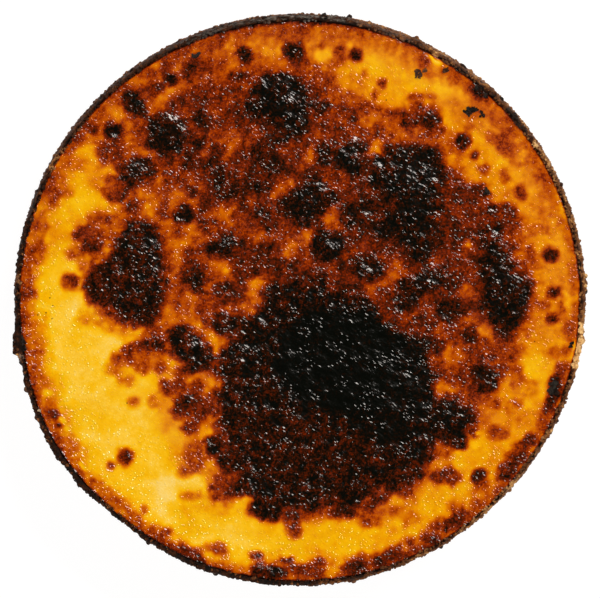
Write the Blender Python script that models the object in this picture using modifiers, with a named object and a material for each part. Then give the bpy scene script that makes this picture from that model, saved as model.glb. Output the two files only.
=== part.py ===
"""A whole baked cheesecake in its thin crumb crust, in metres, +Z up, standing on z = 0.

The crust is a shallow cup of crumb baked hard: a turned profile whose rim is then roughened,
chipped and lifted by angle, with the crumbs that stick out of it joined on. The filling is one
disc of set custard that fills the cup to just below the rim. Its skin is dished, rises to the
crust all round and has low domes where it blistered and scorched. Flakes of char that lie on
the skin are joined to it.

Angles run counter-clockwise from +X, seen from above.
"""

import math
import random
from collections import namedtuple

import bmesh
import bpy
from mathutils import Euler, Vector, noise

MM = 0.001

# Driving dimensions of the cake
CAKE_DIAMETER = 0.200
CAKE_HEIGHT = 0.045
CRUST_WALL = 0.0015
CRUST_BASE = 0.005
FIT_GAP = 0.0003

# Crust section
RIM_SHOULDER = 0.0011
FOOT_CHAMFER = 0.0014
CUP_CHAMFER = 0.002
CRUST_STEPS = 192
CRAG_HEIGHT = 0.0006
CRAG_DEPTH = 0.0004
CRAG_LENGTH = 0.006

# Filling section and skin
EDGE_BELOW_RIM = 0.0009
EDGE_RISE = 0.0018
EDGE_WIDTH = 0.018
CENTRE_SINK = 0.0008
WAVE_HEIGHT = 0.0006
WAVE_LENGTH = 0.034
WRINKLE_HEIGHT = 0.00035
WRINKLE_LENGTH = 0.009
SKIN_CELLS = 56

# Worked out from the driving dimensions
OUTER_RADIUS = CAKE_DIAMETER / 2
CUP_RADIUS = OUTER_RADIUS - CRUST_WALL
FILLING_RADIUS = CUP_RADIUS - FIT_GAP
FILLING_FLOOR = CRUST_BASE + FIT_GAP
EDGE_LEVEL = CAKE_HEIGHT - EDGE_BELOW_RIM
SKIN_LEVEL = EDGE_LEVEL - EDGE_RISE

# Where the rim stands proud, swells out or is broken away: degrees, and millimetres at the middle
RimMark = namedtuple("RimMark", "angle half_width lift swell")
RIM_MARKS = (
    RimMark(4, 2.5, 0.4, 0.8),
    RimMark(20, 4, 0.7, 0.1),
    RimMark(33, 2.5, -1.2, -0.3),
    RimMark(48, 3, 0.6, 0.8),
    RimMark(61, 3, -1.4, -0.2),
    RimMark(66, 2.5, 0.3, 1.0),
    RimMark(81, 6, 0.2, 0.9),
    RimMark(88, 24, 0.6, 0.2),
    RimMark(143, 8, -0.3, -0.3),
    RimMark(150, 4, -0.8, 0.0),
    RimMark(150, 36, 0.0, -0.4),
    RimMark(160, 10, 0.0, -0.3),
    RimMark(181, 7, 0.0, -0.3),
    RimMark(187.0, 1.1, 0.8, 2.1),
    RimMark(188.5, 1.3, 0.8, 2.4),
    RimMark(190.1, 1.2, 0.6, 2.5),
    RimMark(194, 3, -0.7, -0.3),
    RimMark(211, 8, 0.3, 0.7),
    RimMark(220, 3, 0.4, 0.6),
    RimMark(231, 9, -0.2, -0.5),
    RimMark(250, 8, 0.2, 0.35),
    RimMark(282, 4, 0.4, 0.3),
    RimMark(287, 12, 0.0, -0.25),
    RimMark(295, 4, -1.0, -0.3),
    RimMark(314, 34, 0.0, -0.5),
    RimMark(351, 6, -1.2, 0.2),
)

# Where the cake is out of round: degrees, and millimetres outwards at the middle
Spread = namedtuple("Spread", "angle half_width outwards")
SPREADS = (
    Spread(18, 36, 0.4),
    Spread(208, 24, 0.8),
    Spread(316, 34, -0.35),
)

# Crumbs that stick out of the rim: degrees
CRUMB_ANGLES = (
    2, 5, 12, 24, 41, 45, 55, 66, 80, 85, 92, 97, 104, 126, 134, 145,
    165, 198, 204, 213, 222, 238, 253, 266, 281, 300, 318, 335, 352,
)
CRUMB_RADII = (0.0008, 0.0013)
CRUMB_DROP = (0.0012, 0.0045)
CRUMB_SEED = 11

# Blisters of the skin: centre and half sizes in millimetres, turn in degrees, rise in millimetres
Blister = namedtuple("Blister", "x y half_length half_width turn rise")
BLISTERS = (
    Blister(15, -36, 47, 40, 5, 0.8),
    Blister(24, -31, 20, 16, -20, 0.3),
    Blister(-4, -46, 14, 18, 0, 0.4),
    Blister(-60, 8, 21, 16, 100, 0.6),
    Blister(-39, -17, 10, 7, 110, 0.4),
    Blister(-7, 68, 12, 10, 90, 0.5),
    Blister(38, 35, 20, 13, 95, 0.8),
    Blister(4, 35, 11, 8, 15, 0.7),
    Blister(17, 51, 6, 6, 0, 0.6),
    Blister(71, 2, 15, 11, 80, 0.8),
    Blister(-47, 59, 9, 7, 30, 0.6),
    Blister(-60, 43, 8, 8, 0, 0.6),
    Blister(10, 18, 8, 7, 0, 0.6),
    Blister(23, 10, 7, 6, 40, 0.5),
    Blister(43, 5, 11, 7, 25, 0.6),
    Blister(-27, 19, 5, 4, 10, 0.5),
    Blister(65, -30, 7, 7, 0, 0.6),
    Blister(54, -42, 9, 8, 0, 0.6),
    Blister(43, 63, 9, 6, 10, 0.4),
    Blister(-78, 20, 9, 7, 60, -0.7),
    Blister(-55, -45, 22, 14, -40, -0.8),
    Blister(75, 35, 16, 10, 60, -0.6),
)

# Flakes of char on the skin: centre and half sizes in millimetres, turn in degrees
Flake = namedtuple("Flake", "x y half_length half_width turn")
FLAKES = (
    Flake(59.5, 66.5, 1.9, 1.4, -40),
    Flake(61.5, 67.2, 1.6, 0.8, -20),
    Flake(63.8, 65.5, 1.3, 1.0, -60),
    Flake(41.8, 79.8, 1.2, 1.9, 0),
    Flake(65.8, 39, 1.0, 1.6, 0),
    Flake(-36.3, 86.2, 1.8, 0.9, 15),
    Flake(89.0, -30.3, 1.8, 2.3, -20),
)
FLAKE_HALF_HEIGHT = 0.0008
FLAKE_LIFT = 0.00025


def clear_scene():
    """Removes whatever the scene holds when the script starts."""
    for scene_object in list(bpy.data.objects):
        bpy.data.objects.remove(scene_object, do_unlink=True)


def make_collection(name):
    collection = bpy.data.collections.new(name)
    bpy.context.scene.collection.children.link(collection)
    return collection


def make_material(name, colour, roughness):
    material = bpy.data.materials.new(name)
    material.use_nodes = True
    shader = material.node_tree.nodes["Principled BSDF"]
    shader.inputs["Base Color"].default_value = (*colour, 1.0)
    shader.inputs["Metallic"].default_value = 0.0
    shader.inputs["Roughness"].default_value = roughness
    material.diffuse_color = (*colour, 1.0)
    return material


def charred_crumb():
    return make_material("charred_crumb", (0.045, 0.022, 0.012), 0.75)


def baked_custard():
    return make_material("baked_custard", (0.75, 0.33, 0.03), 0.35)


def object_from_bmesh(name, mesh_data, collection, material=None):
    """Turns a bmesh into a smooth-shaded object of the given collection."""
    bmesh.ops.recalc_face_normals(mesh_data, faces=mesh_data.faces)
    mesh = bpy.data.meshes.new(name)
    mesh_data.to_mesh(mesh)
    mesh_data.free()
    mesh.shade_smooth()
    mesh.set_sharp_from_angle(angle=math.radians(50))
    made = bpy.data.objects.new(name, mesh)
    collection.objects.link(made)
    if material:
        mesh.materials.append(material)
    return made


def smooth_step(value):
    value = min(max(value, 0.0), 1.0)
    return value * value * (3 - 2 * value)


def swell_at(distance):
    """A soft hump: 1 at its middle, 0 from a distance of 1 outwards."""
    if distance >= 1.0:
        return 0.0
    return math.cos(distance * math.pi / 2) ** 2


def angle_between(first, second):
    return abs((first - second + 180) % 360 - 180)


def rim_marks_at(angle):
    """The lift and the swell, in metres, that the rim's marks give at an angle in degrees."""
    lift = 0.0
    swell = 0.0
    for mark in RIM_MARKS:
        share = swell_at(angle_between(angle, mark.angle) / mark.half_width)
        lift += mark.lift * MM * share
        swell += mark.swell * MM * share
    return lift, swell


def out_of_round(x, y):
    """How many times as far out as in a round cake a place in this direction lies."""
    angle = math.degrees(math.atan2(y, x))
    outwards = sum(
        spread.outwards * swell_at(angle_between(angle, spread.angle) / spread.half_width)
        for spread in SPREADS
    )
    return 1 + outwards * MM / OUTER_RADIUS


def crust_profile():
    """The crust's half section: from the cup's floor up over the rim, down the side and in."""
    rim_inset = RIM_SHOULDER * 0.15
    side_top = CAKE_HEIGHT - RIM_SHOULDER
    return (
        (0.0, CRUST_BASE),
        (CUP_RADIUS - CUP_CHAMFER, CRUST_BASE),
        (CUP_RADIUS, CRUST_BASE + CUP_CHAMFER),
        (CUP_RADIUS, CAKE_HEIGHT - RIM_SHOULDER * 0.4),
        (CUP_RADIUS + rim_inset, CAKE_HEIGHT),
        (OUTER_RADIUS - RIM_SHOULDER * 0.65, CAKE_HEIGHT),
        (OUTER_RADIUS - RIM_SHOULDER * 0.2, CAKE_HEIGHT - RIM_SHOULDER * 0.35),
        (OUTER_RADIUS, side_top),
        (OUTER_RADIUS, CAKE_HEIGHT * 0.78),
        (OUTER_RADIUS, CAKE_HEIGHT * 0.52),
        (OUTER_RADIUS, CAKE_HEIGHT * 0.26),
        (OUTER_RADIUS, FOOT_CHAMFER),
        (OUTER_RADIUS - FOOT_CHAMFER, 0.0),
        (0.0, 0.0),
    )


def turned_cup(collection):
    """The plain cup: its half section turned through a full circle."""
    profile = bpy.data.meshes.new("crust_profile")
    points = [(radius, 0.0, height) for radius, height in crust_profile()]
    edges = [(index, index + 1) for index in range(len(points) - 1)]
    profile.from_pydata(points, edges, [])
    cup = bpy.data.objects.new("crust_profile", profile)
    collection.objects.link(cup)
    screw = cup.modifiers.new("turned", "SCREW")
    screw.axis = "Z"
    screw.steps = CRUST_STEPS
    screw.render_steps = CRUST_STEPS
    screw.use_merge_vertices = True
    screw.merge_threshold = 0.0001
    screw.use_smooth_shade = True
    bpy.context.view_layer.update()
    evaluated = cup.evaluated_get(bpy.context.evaluated_depsgraph_get())
    turned = bmesh.new()
    turned.from_mesh(evaluated.to_mesh())
    bpy.data.objects.remove(cup, do_unlink=True)
    return turned


def roughen_crust(cup):
    """Gives the rim its lifts, chips and crags, and the side its crumbly relief."""
    for vertex in cup.verts:
        place = vertex.co.copy()
        share = out_of_round(place.x, place.y)
        vertex.co.x *= share
        vertex.co.y *= share
        radius = math.hypot(place.x, place.y)
        on_side = radius > CUP_RADIUS + 0.1 * MM and place.z > FOOT_CHAMFER / 2
        if not on_side:
            continue
        outward = Vector((place.x, place.y, 0.0)) / radius
        lift, swell = rim_marks_at(math.degrees(math.atan2(place.y, place.x)))
        crag = noise.fractal(place / CRAG_LENGTH, 0.8, 2.1, 3)
        toothing = noise.noise(outward * OUTER_RADIUS * 1.6 / CRAG_LENGTH)
        rim_share = smooth_step((place.z - CAKE_HEIGHT * 0.6) / (CAKE_HEIGHT * 0.36))
        outer_share = smooth_step((radius - CUP_RADIUS) / CRUST_WALL)
        top_share = smooth_step((place.z - CAKE_HEIGHT + 3 * RIM_SHOULDER) / (2 * RIM_SHOULDER))
        moved = (swell * rim_share + CRAG_DEPTH * crag) * outer_share
        vertex.co += outward * moved
        vertex.co.z += (lift + CRAG_HEIGHT * toothing) * top_share


def crumb(name, centre, half_sizes, turn, collection):
    """A small uneven lump of 20 faces."""
    lump = bmesh.new()
    bmesh.ops.create_icosphere(lump, subdivisions=1, radius=1.0)
    for vertex in lump.verts:
        vertex.co *= 1.0 + 0.22 * noise.noise(vertex.co * 1.7 + Vector(centre) * 900)
        vertex.co = Vector(part * size for part, size in zip(vertex.co, half_sizes))
        vertex.co.rotate(turn)
        vertex.co += Vector(centre)
    return object_from_bmesh(name, lump, collection)


def join_lumps(base, lumps):
    """Joins every lump to the base with one union, then removes the lumps."""
    union = base.modifiers.new("joined", "BOOLEAN")
    union.operation = "UNION"
    union.operand_type = "COLLECTION"
    union.collection = lumps
    union.solver = "EXACT"
    bpy.context.view_layer.update()
    evaluated = base.evaluated_get(bpy.context.evaluated_depsgraph_get())
    joined = bpy.data.meshes.new_from_object(evaluated)
    base.modifiers.clear()
    base.data = joined
    for lump in list(lumps.objects):
        bpy.data.objects.remove(lump, do_unlink=True)
    bpy.data.collections.remove(lumps)


def make_crust(collection):
    """The charred crumb crust: a thin cup with a broken rim and crumbs sticking out of it."""
    cup = turned_cup(collection)
    roughen_crust(cup)
    crust = object_from_bmesh("crust", cup, collection, charred_crumb())
    lumps = make_collection("crust_crumbs")
    chance = random.Random(CRUMB_SEED)
    for index, angle in enumerate(CRUMB_ANGLES):
        turn = math.radians(angle)
        size = chance.uniform(*CRUMB_RADII)
        drop = chance.uniform(*CRUMB_DROP)
        round_reach = OUTER_RADIUS * out_of_round(math.cos(turn), math.sin(turn))
        reach = round_reach + rim_marks_at(angle)[1] - 0.1 * MM
        centre = (reach * math.cos(turn), reach * math.sin(turn), CAKE_HEIGHT - drop)
        half_sizes = (size, size * chance.uniform(0.8, 1.3), size * chance.uniform(0.7, 1.0))
        lean = Euler((chance.uniform(-1, 1), chance.uniform(-1, 1), turn))
        crumb(f"crumb_{index}", centre, half_sizes, lean, lumps)
    join_lumps(crust, lumps)
    return crust


def blister_height(blister, x, y):
    """How far a blister lifts the skin at a place, in metres."""
    turn = math.radians(blister.turn)
    across = x - blister.x * MM
    along = y - blister.y * MM
    u = (across * math.cos(turn) + along * math.sin(turn)) / (blister.half_length * MM)
    v = (along * math.cos(turn) - across * math.sin(turn)) / (blister.half_width * MM)
    ragged = 0.18 * noise.noise(Vector((x, y, 0.0)) / WRINKLE_LENGTH)
    distance = min(max(math.hypot(u, v) + ragged, 0.0), 1.0)
    return blister.rise * MM * (1 - distance * distance) ** 1.5


def skin_height(x, y):
    """The height of the filling's skin at a place."""
    radius = math.hypot(x, y) / out_of_round(x, y)
    inside = 1 - radius / FILLING_RADIUS
    edge = smooth_step(1 - (FILLING_RADIUS - radius) / EDGE_WIDTH)
    place = Vector((x, y, 0.0))
    height = SKIN_LEVEL + EDGE_RISE * edge ** 1.5
    height -= CENTRE_SINK * smooth_step(inside)
    loose = 1 - 0.75 * edge
    height += WAVE_HEIGHT * noise.noise(place / WAVE_LENGTH) * loose
    height += WRINKLE_HEIGHT * noise.fractal(place / WRINKLE_LENGTH, 0.9, 2.0, 2) * loose
    height += sum(blister_height(blister, x, y) for blister in BLISTERS) * loose
    return height


def square_to_disc(a, b):
    """Maps a place in the square of half side 1 to the unit disc, keeping areas alike."""
    if a == 0 and b == 0:
        return 0.0, 0.0
    if abs(a) > abs(b):
        radius = a
        turn = math.pi / 4 * b / a
    else:
        radius = b
        turn = math.pi / 2 - math.pi / 4 * a / b
    return radius * math.cos(turn), radius * math.sin(turn)


def make_filling(collection):
    """The baked filling: one solid disc, with its skin's relief on top."""
    disc = bmesh.new()
    bmesh.ops.create_grid(disc, x_segments=SKIN_CELLS, y_segments=SKIN_CELLS, size=1.0)
    for vertex in disc.verts:
        x, y = square_to_disc(vertex.co.x, vertex.co.y)
        reach = FILLING_RADIUS * out_of_round(x, y)
        x *= reach
        y *= reach
        vertex.co = Vector((x, y, skin_height(x, y)))

    wall_top = [edge for edge in disc.edges if edge.is_boundary]
    wall = bmesh.ops.extrude_edge_only(disc, edges=wall_top)["geom"]
    for vertex in (item for item in wall if isinstance(item, bmesh.types.BMVert)):
        vertex.co.z = FILLING_FLOOR + CUP_CHAMFER
    wall_foot = [item for item in wall if isinstance(item, bmesh.types.BMEdge)]
    floor = bmesh.ops.extrude_edge_only(disc, edges=wall_foot)["geom"]
    for vertex in (item for item in floor if isinstance(item, bmesh.types.BMVert)):
        vertex.co.x *= 1 - CUP_CHAMFER / FILLING_RADIUS
        vertex.co.y *= 1 - CUP_CHAMFER / FILLING_RADIUS
        vertex.co.z = FILLING_FLOOR
    floor_rim = [item for item in floor if isinstance(item, bmesh.types.BMEdge)]
    bmesh.ops.edgeloop_fill(disc, edges=floor_rim)
    filling = object_from_bmesh("filling", disc, collection, baked_custard())

    lumps = make_collection("char_flakes")
    for index, flake in enumerate(FLAKES):
        x = flake.x * MM
        y = flake.y * MM
        centre = (x, y, skin_height(x, y) + FLAKE_LIFT)
        half_sizes = (flake.half_length * MM, flake.half_width * MM, FLAKE_HALF_HEIGHT)
        lean = Euler((0.1, -0.15, math.radians(flake.turn)))
        crumb(f"flake_{index}", centre, half_sizes, lean, lumps)
    join_lumps(filling, lumps)
    return filling


def build():
    clear_scene()
    cheesecake = make_collection("cheesecake")
    make_crust(cheesecake)
    make_filling(cheesecake)


build()
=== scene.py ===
"""A whole baked cheesecake in its charred crumb crust: the looks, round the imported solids.

The pieces follow the cake as it is made: the crumb crust, the loose crumbs on it, the baked
filling with its scorched skin, and the flakes of char that lie on the skin. Then come the floor,
the lights and the camera. Lengths are in metres, in the cake's own frame: +Z up, +X to the
right and +Y to the top of the view; angles are in degrees, counter-clockwise from +X.
"""

import math
import random
from collections import namedtuple

import bmesh
import bpy
import numpy as np
from mathutils import Euler, Matrix, Vector, noise


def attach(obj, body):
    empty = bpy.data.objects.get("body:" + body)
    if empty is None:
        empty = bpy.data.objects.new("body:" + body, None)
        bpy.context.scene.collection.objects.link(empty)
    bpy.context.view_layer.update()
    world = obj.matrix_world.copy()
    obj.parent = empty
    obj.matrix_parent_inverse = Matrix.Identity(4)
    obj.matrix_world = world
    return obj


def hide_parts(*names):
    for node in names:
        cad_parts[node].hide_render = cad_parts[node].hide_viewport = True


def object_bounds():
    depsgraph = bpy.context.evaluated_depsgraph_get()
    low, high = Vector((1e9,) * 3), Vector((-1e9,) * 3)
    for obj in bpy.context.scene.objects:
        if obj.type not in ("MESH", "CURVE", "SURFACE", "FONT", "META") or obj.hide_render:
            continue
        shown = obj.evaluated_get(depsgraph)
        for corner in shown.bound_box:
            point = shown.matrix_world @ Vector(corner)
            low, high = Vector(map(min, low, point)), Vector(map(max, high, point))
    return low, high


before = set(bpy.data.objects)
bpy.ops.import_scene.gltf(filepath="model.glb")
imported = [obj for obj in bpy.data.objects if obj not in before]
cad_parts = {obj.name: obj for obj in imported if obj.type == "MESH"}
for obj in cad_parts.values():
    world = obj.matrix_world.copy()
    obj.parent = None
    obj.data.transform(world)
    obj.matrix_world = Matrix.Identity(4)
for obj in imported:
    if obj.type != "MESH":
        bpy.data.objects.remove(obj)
cad_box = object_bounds()


# ---------------------------------------------------------------------------------------------
# Crust
# A thin cup of biscuit crumb, pressed into a round tin and baked with the filling in it. Its rim
# burnt black, with grey ash on it and a grey sheen painted on in the north, where the light falls,
# and chipped; where it broke, and down its side, it is paler.

MM = 0.001
CAKE_DIAMETER = 0.200
CAKE_HEIGHT = 0.045
CRUST_WALL = 0.0015
CRUST_BASE = 0.005
FIT_GAP = 0.0003
OUTER_RADIUS = CAKE_DIAMETER / 2
CUP_RADIUS = OUTER_RADIUS - CRUST_WALL

RIM_ROUND = 0.0008
RIM_INNER_ROUND = 0.0004
FOOT_CHAMFER = 0.0014
CUP_CHAMFER = 0.002
CRUST_STEPS = 1080
SIDE_CUTS = 58
CUP_CUTS = 8

CRAG_HEIGHT = 0.0006
CRAG_DEPTH = 0.0004
CRAG_LENGTH = 0.006
PRESSED_CRUMB = 0.0021
PRESSED_RELIEF = 0.0004
PRESSED_MIDDLE = 0.45
TOOTH_LENGTH = 0.0017
TOOTH_DEPTH = 0.0006
TOOTHING_LENGTH = CRAG_LENGTH / 1.6
WALL_SET_IN = 0.0001
SWELL_HEIGHTS = (CAKE_HEIGHT * 0.6, CAKE_HEIGHT * 0.96)
LIFT_HEIGHTS = (CAKE_HEIGHT - 0.005, CAKE_HEIGHT - 0.0014)

# Where the rim stands proud, swells out or is broken away: angle and half width in degrees, lift
# and swell in millimetres
RimMark = namedtuple("RimMark", "angle half_width lift swell")
RIM_MARKS = (
    RimMark(4, 2.5, 0.4, 0.8),
    RimMark(20, 4, 0.7, 0.1),
    RimMark(33, 2.5, -1.2, -0.3),
    RimMark(48, 3, 0.6, 0.8),
    RimMark(61, 3, -1.4, -0.2),
    RimMark(66, 2.5, 0.3, 1.0),
    RimMark(81, 6, 0.2, 0.9),
    RimMark(88, 24, 0.6, 0.2),
    RimMark(143, 8, -0.3, -0.3),
    RimMark(150, 4, -0.8, 0.0),
    RimMark(150, 36, 0.0, -0.4),
    RimMark(160, 10, 0.0, -0.3),
    RimMark(181, 7, 0.0, -0.3),
    RimMark(187.0, 1.1, 0.8, 2.1),
    RimMark(188.5, 1.3, 0.8, 2.4),
    RimMark(190.1, 1.2, 0.6, 2.5),
    RimMark(194, 3, -0.7, -0.3),
    RimMark(211, 8, 0.3, 0.7),
    RimMark(220, 3, 0.4, 0.6),
    RimMark(231, 9, -0.2, -0.5),
    RimMark(250, 8, 0.2, 0.35),
    RimMark(282, 4, 0.4, 0.3),
    RimMark(287, 12, 0.0, -0.25),
    RimMark(295, 4, -1.0, -0.3),
    RimMark(314, 34, 0.0, -0.5),
    RimMark(351, 6, -1.2, 0.2),
)

# Where the cake is out of round: degrees, and millimetres outwards at the middle
Spread = namedtuple("Spread", "angle half_width outwards")
SPREADS = (
    Spread(18, 36, 0.4),
    Spread(208, 24, 0.8),
    Spread(316, 34, -0.35),
)

# How burnt the rim is: 0 is pale crumb, 0.4 brown and 1 black; ash is its share of grey, which is
# ash and, in the north, a painted sheen where the light falls on the rim. A mark lies over those
# above it, and the wider it is, the farther it reaches down the side.
RimTone = namedtuple("RimTone", "angle half_width bake ash")
RIM_TONES = (
    # In the north the grey is a painted sheen, where the light falls on the rim
    RimTone(88, 12, 0.86, 0.95),
    RimTone(108, 12, 0.80, 0.45),
    RimTone(127, 14, 0.70, 0.15),
    RimTone(146, 12, 0.66, 0.05),
    RimTone(70, 10, 0.54, 0.3),
    RimTone(50, 14, 0.5, 0.12),
    RimTone(20, 20, 0.46, 0.08),
    RimTone(40, 3, 0.8, 0.1),
    RimTone(354, 14, 0.4, 0.08),
    RimTone(330, 14, 0.44, 0.1),
    RimTone(309, 13, 0.4, 0.15),
    RimTone(286, 12, 0.52, 0.1),
    RimTone(150, 3, 0.42, 0.0),
    RimTone(175.5, 1, 0.3, 0.1),
    RimTone(191.3, 0.8, 0.46, 1.0),
    RimTone(33.5, 1, 0.15, 0.1),
    RimTone(61.5, 1.4, 0.3, 0.0),
    RimTone(295, 3, 0.36, 0.0),
    RimTone(312, 1.6, 0.25, 0.1),
    RimTone(319.5, 1.8, 0.25, 0.1),
    RimTone(347.6, 1.6, 0.05, 0.0),
    RimTone(350.8, 2.2, 0.0, 0.0),
    RimTone(354.7, 1.2, 0.08, 0.0),
)
TONE_DEPTH = 0.0015
TONE_DEPTH_PER_DEGREE = 0.0016

# Away from those marks the crumb is burnt, with paler specks, down to a height on the side, and
# brown below it. In the east the burnt part ends higher up, more sharply, over a paler brown.
MOTTLE_LENGTH = 0.005
RIM_BAKE = 0.84
RIM_ASH = 0.02
RIM_SPECKS = 0.3
# The grey of ash and painted sheen shows only near the top of the rim
ASH_AND_SHEEN_HEIGHTS = (0.036, 0.044)
BURNT_ABOVE = 0.040
BURNT_FADE = 0.022
SIDE_BAKE = 0.5
SIDE_SPECKS = 0.12
PALER_ANGLE = 25
PALER_HALF_WIDTH = 90
PALER_RISE = 0.0044
PALER_SHARPENING = 0.018
PALER_BAKE = 0.14


def deselect():
    """Leaves nothing selected, so that an operator acts only on what comes next."""
    bpy.ops.object.select_all(action="DESELECT")
    bpy.context.view_layer.objects.active = None


def pick_faces(piece, test):
    """In edit mode, selects the faces whose middle and normal pass a test, and nothing else."""
    bpy.ops.mesh.select_all(action="DESELECT")
    bpy.ops.mesh.select_mode(type="FACE")
    shape = bmesh.from_edit_mesh(piece.data)
    for face in shape.faces:
        if test(face.calc_center_median(), face.normal):
            face.select_set(True)
    shape.select_flush(True)
    bmesh.update_edit_mesh(piece.data)


def pick_edges(piece, test):
    """In edit mode, selects the edges whose two ends pass a test, and nothing else."""
    bpy.ops.mesh.select_all(action="DESELECT")
    bpy.ops.mesh.select_mode(type="EDGE")
    shape = bmesh.from_edit_mesh(piece.data)
    for edge in shape.edges:
        if test(edge.verts[0].co, edge.verts[1].co):
            edge.select_set(True)
    bmesh.update_edit_mesh(piece.data)


def places_of(piece):
    """The piece's points as rows of x, y and z."""
    flat = np.empty(len(piece.data.vertices) * 3, dtype=np.float32)
    piece.data.vertices.foreach_get("co", flat)
    return flat.reshape(-1, 3).astype(np.float64)


def move_to(piece, places):
    """Moves the piece's points, never outside the box of the solids."""
    inside = np.clip(places, cad_box[0], cad_box[1])
    piece.data.vertices.foreach_set("co", inside.astype(np.float32).ravel())
    piece.data.update()


def keep_number(piece, name, values):
    """Keeps one number for each point, which the piece's material reads by its name."""
    layer = piece.data.attributes.new(name, "FLOAT", "POINT")
    layer.data.foreach_set("value", np.asarray(values, dtype=np.float32))


def rough(places, length, octaves=1, shift=0.0):
    """Smooth noise of about -1 to 1 at each place, in lumps of a given length."""
    rows = np.asarray(places) / length + shift
    if octaves == 1:
        return np.array([noise.noise(Vector(row)) for row in rows])
    return np.array([noise.fractal(Vector(row), 0.9, 2.0, octaves) for row in rows])


def soft_step(low, high, values):
    """Goes smoothly from 0 at low to 1 at high."""
    share = np.clip((values - low) / (high - low), 0.0, 1.0)
    return share * share * (3 - 2 * share)


def angles_of(places):
    """Each place's angle round the cake."""
    return np.degrees(np.arctan2(places[:, 1], places[:, 0]))


def angles_apart(angles, angle):
    """How many degrees round the cake lie between each angle and one angle."""
    return np.abs((angles - angle + 180) % 360 - 180)


def nearness(angles, angle, half_width):
    """1 at an angle round the cake, sinking to 0 at a half width from it."""
    share = np.minimum(angles_apart(angles, angle) / half_width, 1.0)
    return np.cos(share * math.pi / 2) ** 2


def rim_lift(angles):
    """How far the rim is lifted at each angle."""
    return MM * sum(mark.lift * nearness(angles, mark.angle, mark.half_width)
                    for mark in RIM_MARKS)


def rim_swell(angles):
    """How far the rim swells out at each angle."""
    return MM * sum(mark.swell * nearness(angles, mark.angle, mark.half_width)
                    for mark in RIM_MARKS)


def out_of_round(angles):
    """How many times as far out as in a round cake the places at some angles lie."""
    outwards = sum(spread.outwards * nearness(angles, spread.angle, spread.half_width)
                   for spread in SPREADS)
    return 1 + outwards * MM / OUTER_RADIUS


def crust_bake(places, mottle):
    """How burnt the crumb is and how grey with ash and painted sheen, by angle and height up the
    side.
    """
    angles = angles_of(places)
    height = places[:, 2]
    bake = RIM_BAKE - RIM_SPECKS * soft_step(0.25, 0.8, mottle)
    ash = np.full(len(places), RIM_ASH)
    for tone in RIM_TONES:
        along = angles_apart(angles, tone.angle) / tone.half_width
        down = (CAKE_HEIGHT - height) / (TONE_DEPTH + TONE_DEPTH_PER_DEGREE * tone.half_width)
        share = 1 - soft_step(0.75, 1.15, np.hypot(along, down) + 0.25 * mottle)
        bake += (tone.bake - bake) * share
        ash += (tone.ash - ash) * share
    paler = nearness(angles, PALER_ANGLE, PALER_HALF_WIDTH)
    burnt_above = BURNT_ABOVE + PALER_RISE * paler
    fade = BURNT_FADE - PALER_SHARPENING * paler
    burnt = soft_step(burnt_above - fade, burnt_above, height + 0.003 * mottle) ** 1.5
    side_bake = SIDE_BAKE - PALER_BAKE * paler + SIDE_SPECKS * mottle
    bake = side_bake + (bake - side_bake) * burnt
    return np.clip(bake, 0, 1), ash * soft_step(*ASH_AND_SHEEN_HEIGHTS, height)


deselect()
bpy.ops.mesh.primitive_cylinder_add(
    vertices=CRUST_STEPS, radius=OUTER_RADIUS, depth=CAKE_HEIGHT, location=(0, 0, CAKE_HEIGHT / 2)
)
crust = bpy.context.object
crust.name = crust.data.name = "crumb_crust"
bpy.ops.object.transform_apply(location=True, rotation=True, scale=True)
bpy.ops.object.mode_set(mode="EDIT")
pick_faces(crust, lambda middle, normal: normal.z > 0.9)
bpy.ops.mesh.inset(thickness=CRUST_WALL)
bpy.ops.mesh.extrude_region_move(
    TRANSFORM_OT_translate={"value": (0, 0, CRUST_BASE - CAKE_HEIGHT)}
)


def on_ring(radius, height):
    """A test for the edges of the ring at a radius and a height."""
    def test(first, second):
        return all(
            abs(math.hypot(end.x, end.y) - radius) < 0.1 * MM and abs(end.z - height) < 0.1 * MM
            for end in (first, second)
        )
    return test


def upright_at(radius):
    """A test for the upright edges of the wall at a radius."""
    def test(first, second):
        return abs(first.z - second.z) > 10 * MM and all(
            abs(math.hypot(end.x, end.y) - radius) < 0.1 * MM for end in (first, second)
        )
    return test


pick_edges(crust, on_ring(CUP_RADIUS, CRUST_BASE))
bpy.ops.mesh.bevel(offset=CUP_CHAMFER, segments=1)
pick_edges(crust, on_ring(OUTER_RADIUS, 0.0))
bpy.ops.mesh.bevel(offset=FOOT_CHAMFER, segments=2)
pick_edges(crust, on_ring(OUTER_RADIUS, CAKE_HEIGHT))
bpy.ops.mesh.bevel(offset=RIM_ROUND, segments=4)
pick_edges(crust, on_ring(CUP_RADIUS, CAKE_HEIGHT))
bpy.ops.mesh.bevel(offset=RIM_INNER_ROUND, segments=2)
pick_edges(crust, upright_at(OUTER_RADIUS))
bpy.ops.mesh.subdivide(number_cuts=SIDE_CUTS)
pick_edges(crust, upright_at(CUP_RADIUS))
bpy.ops.mesh.subdivide(number_cuts=CUP_CUTS)
bpy.ops.mesh.select_all(action="SELECT")
bpy.ops.mesh.normals_make_consistent(inside=False)
bpy.ops.object.mode_set(mode="OBJECT")
bpy.ops.object.shade_smooth()

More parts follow.
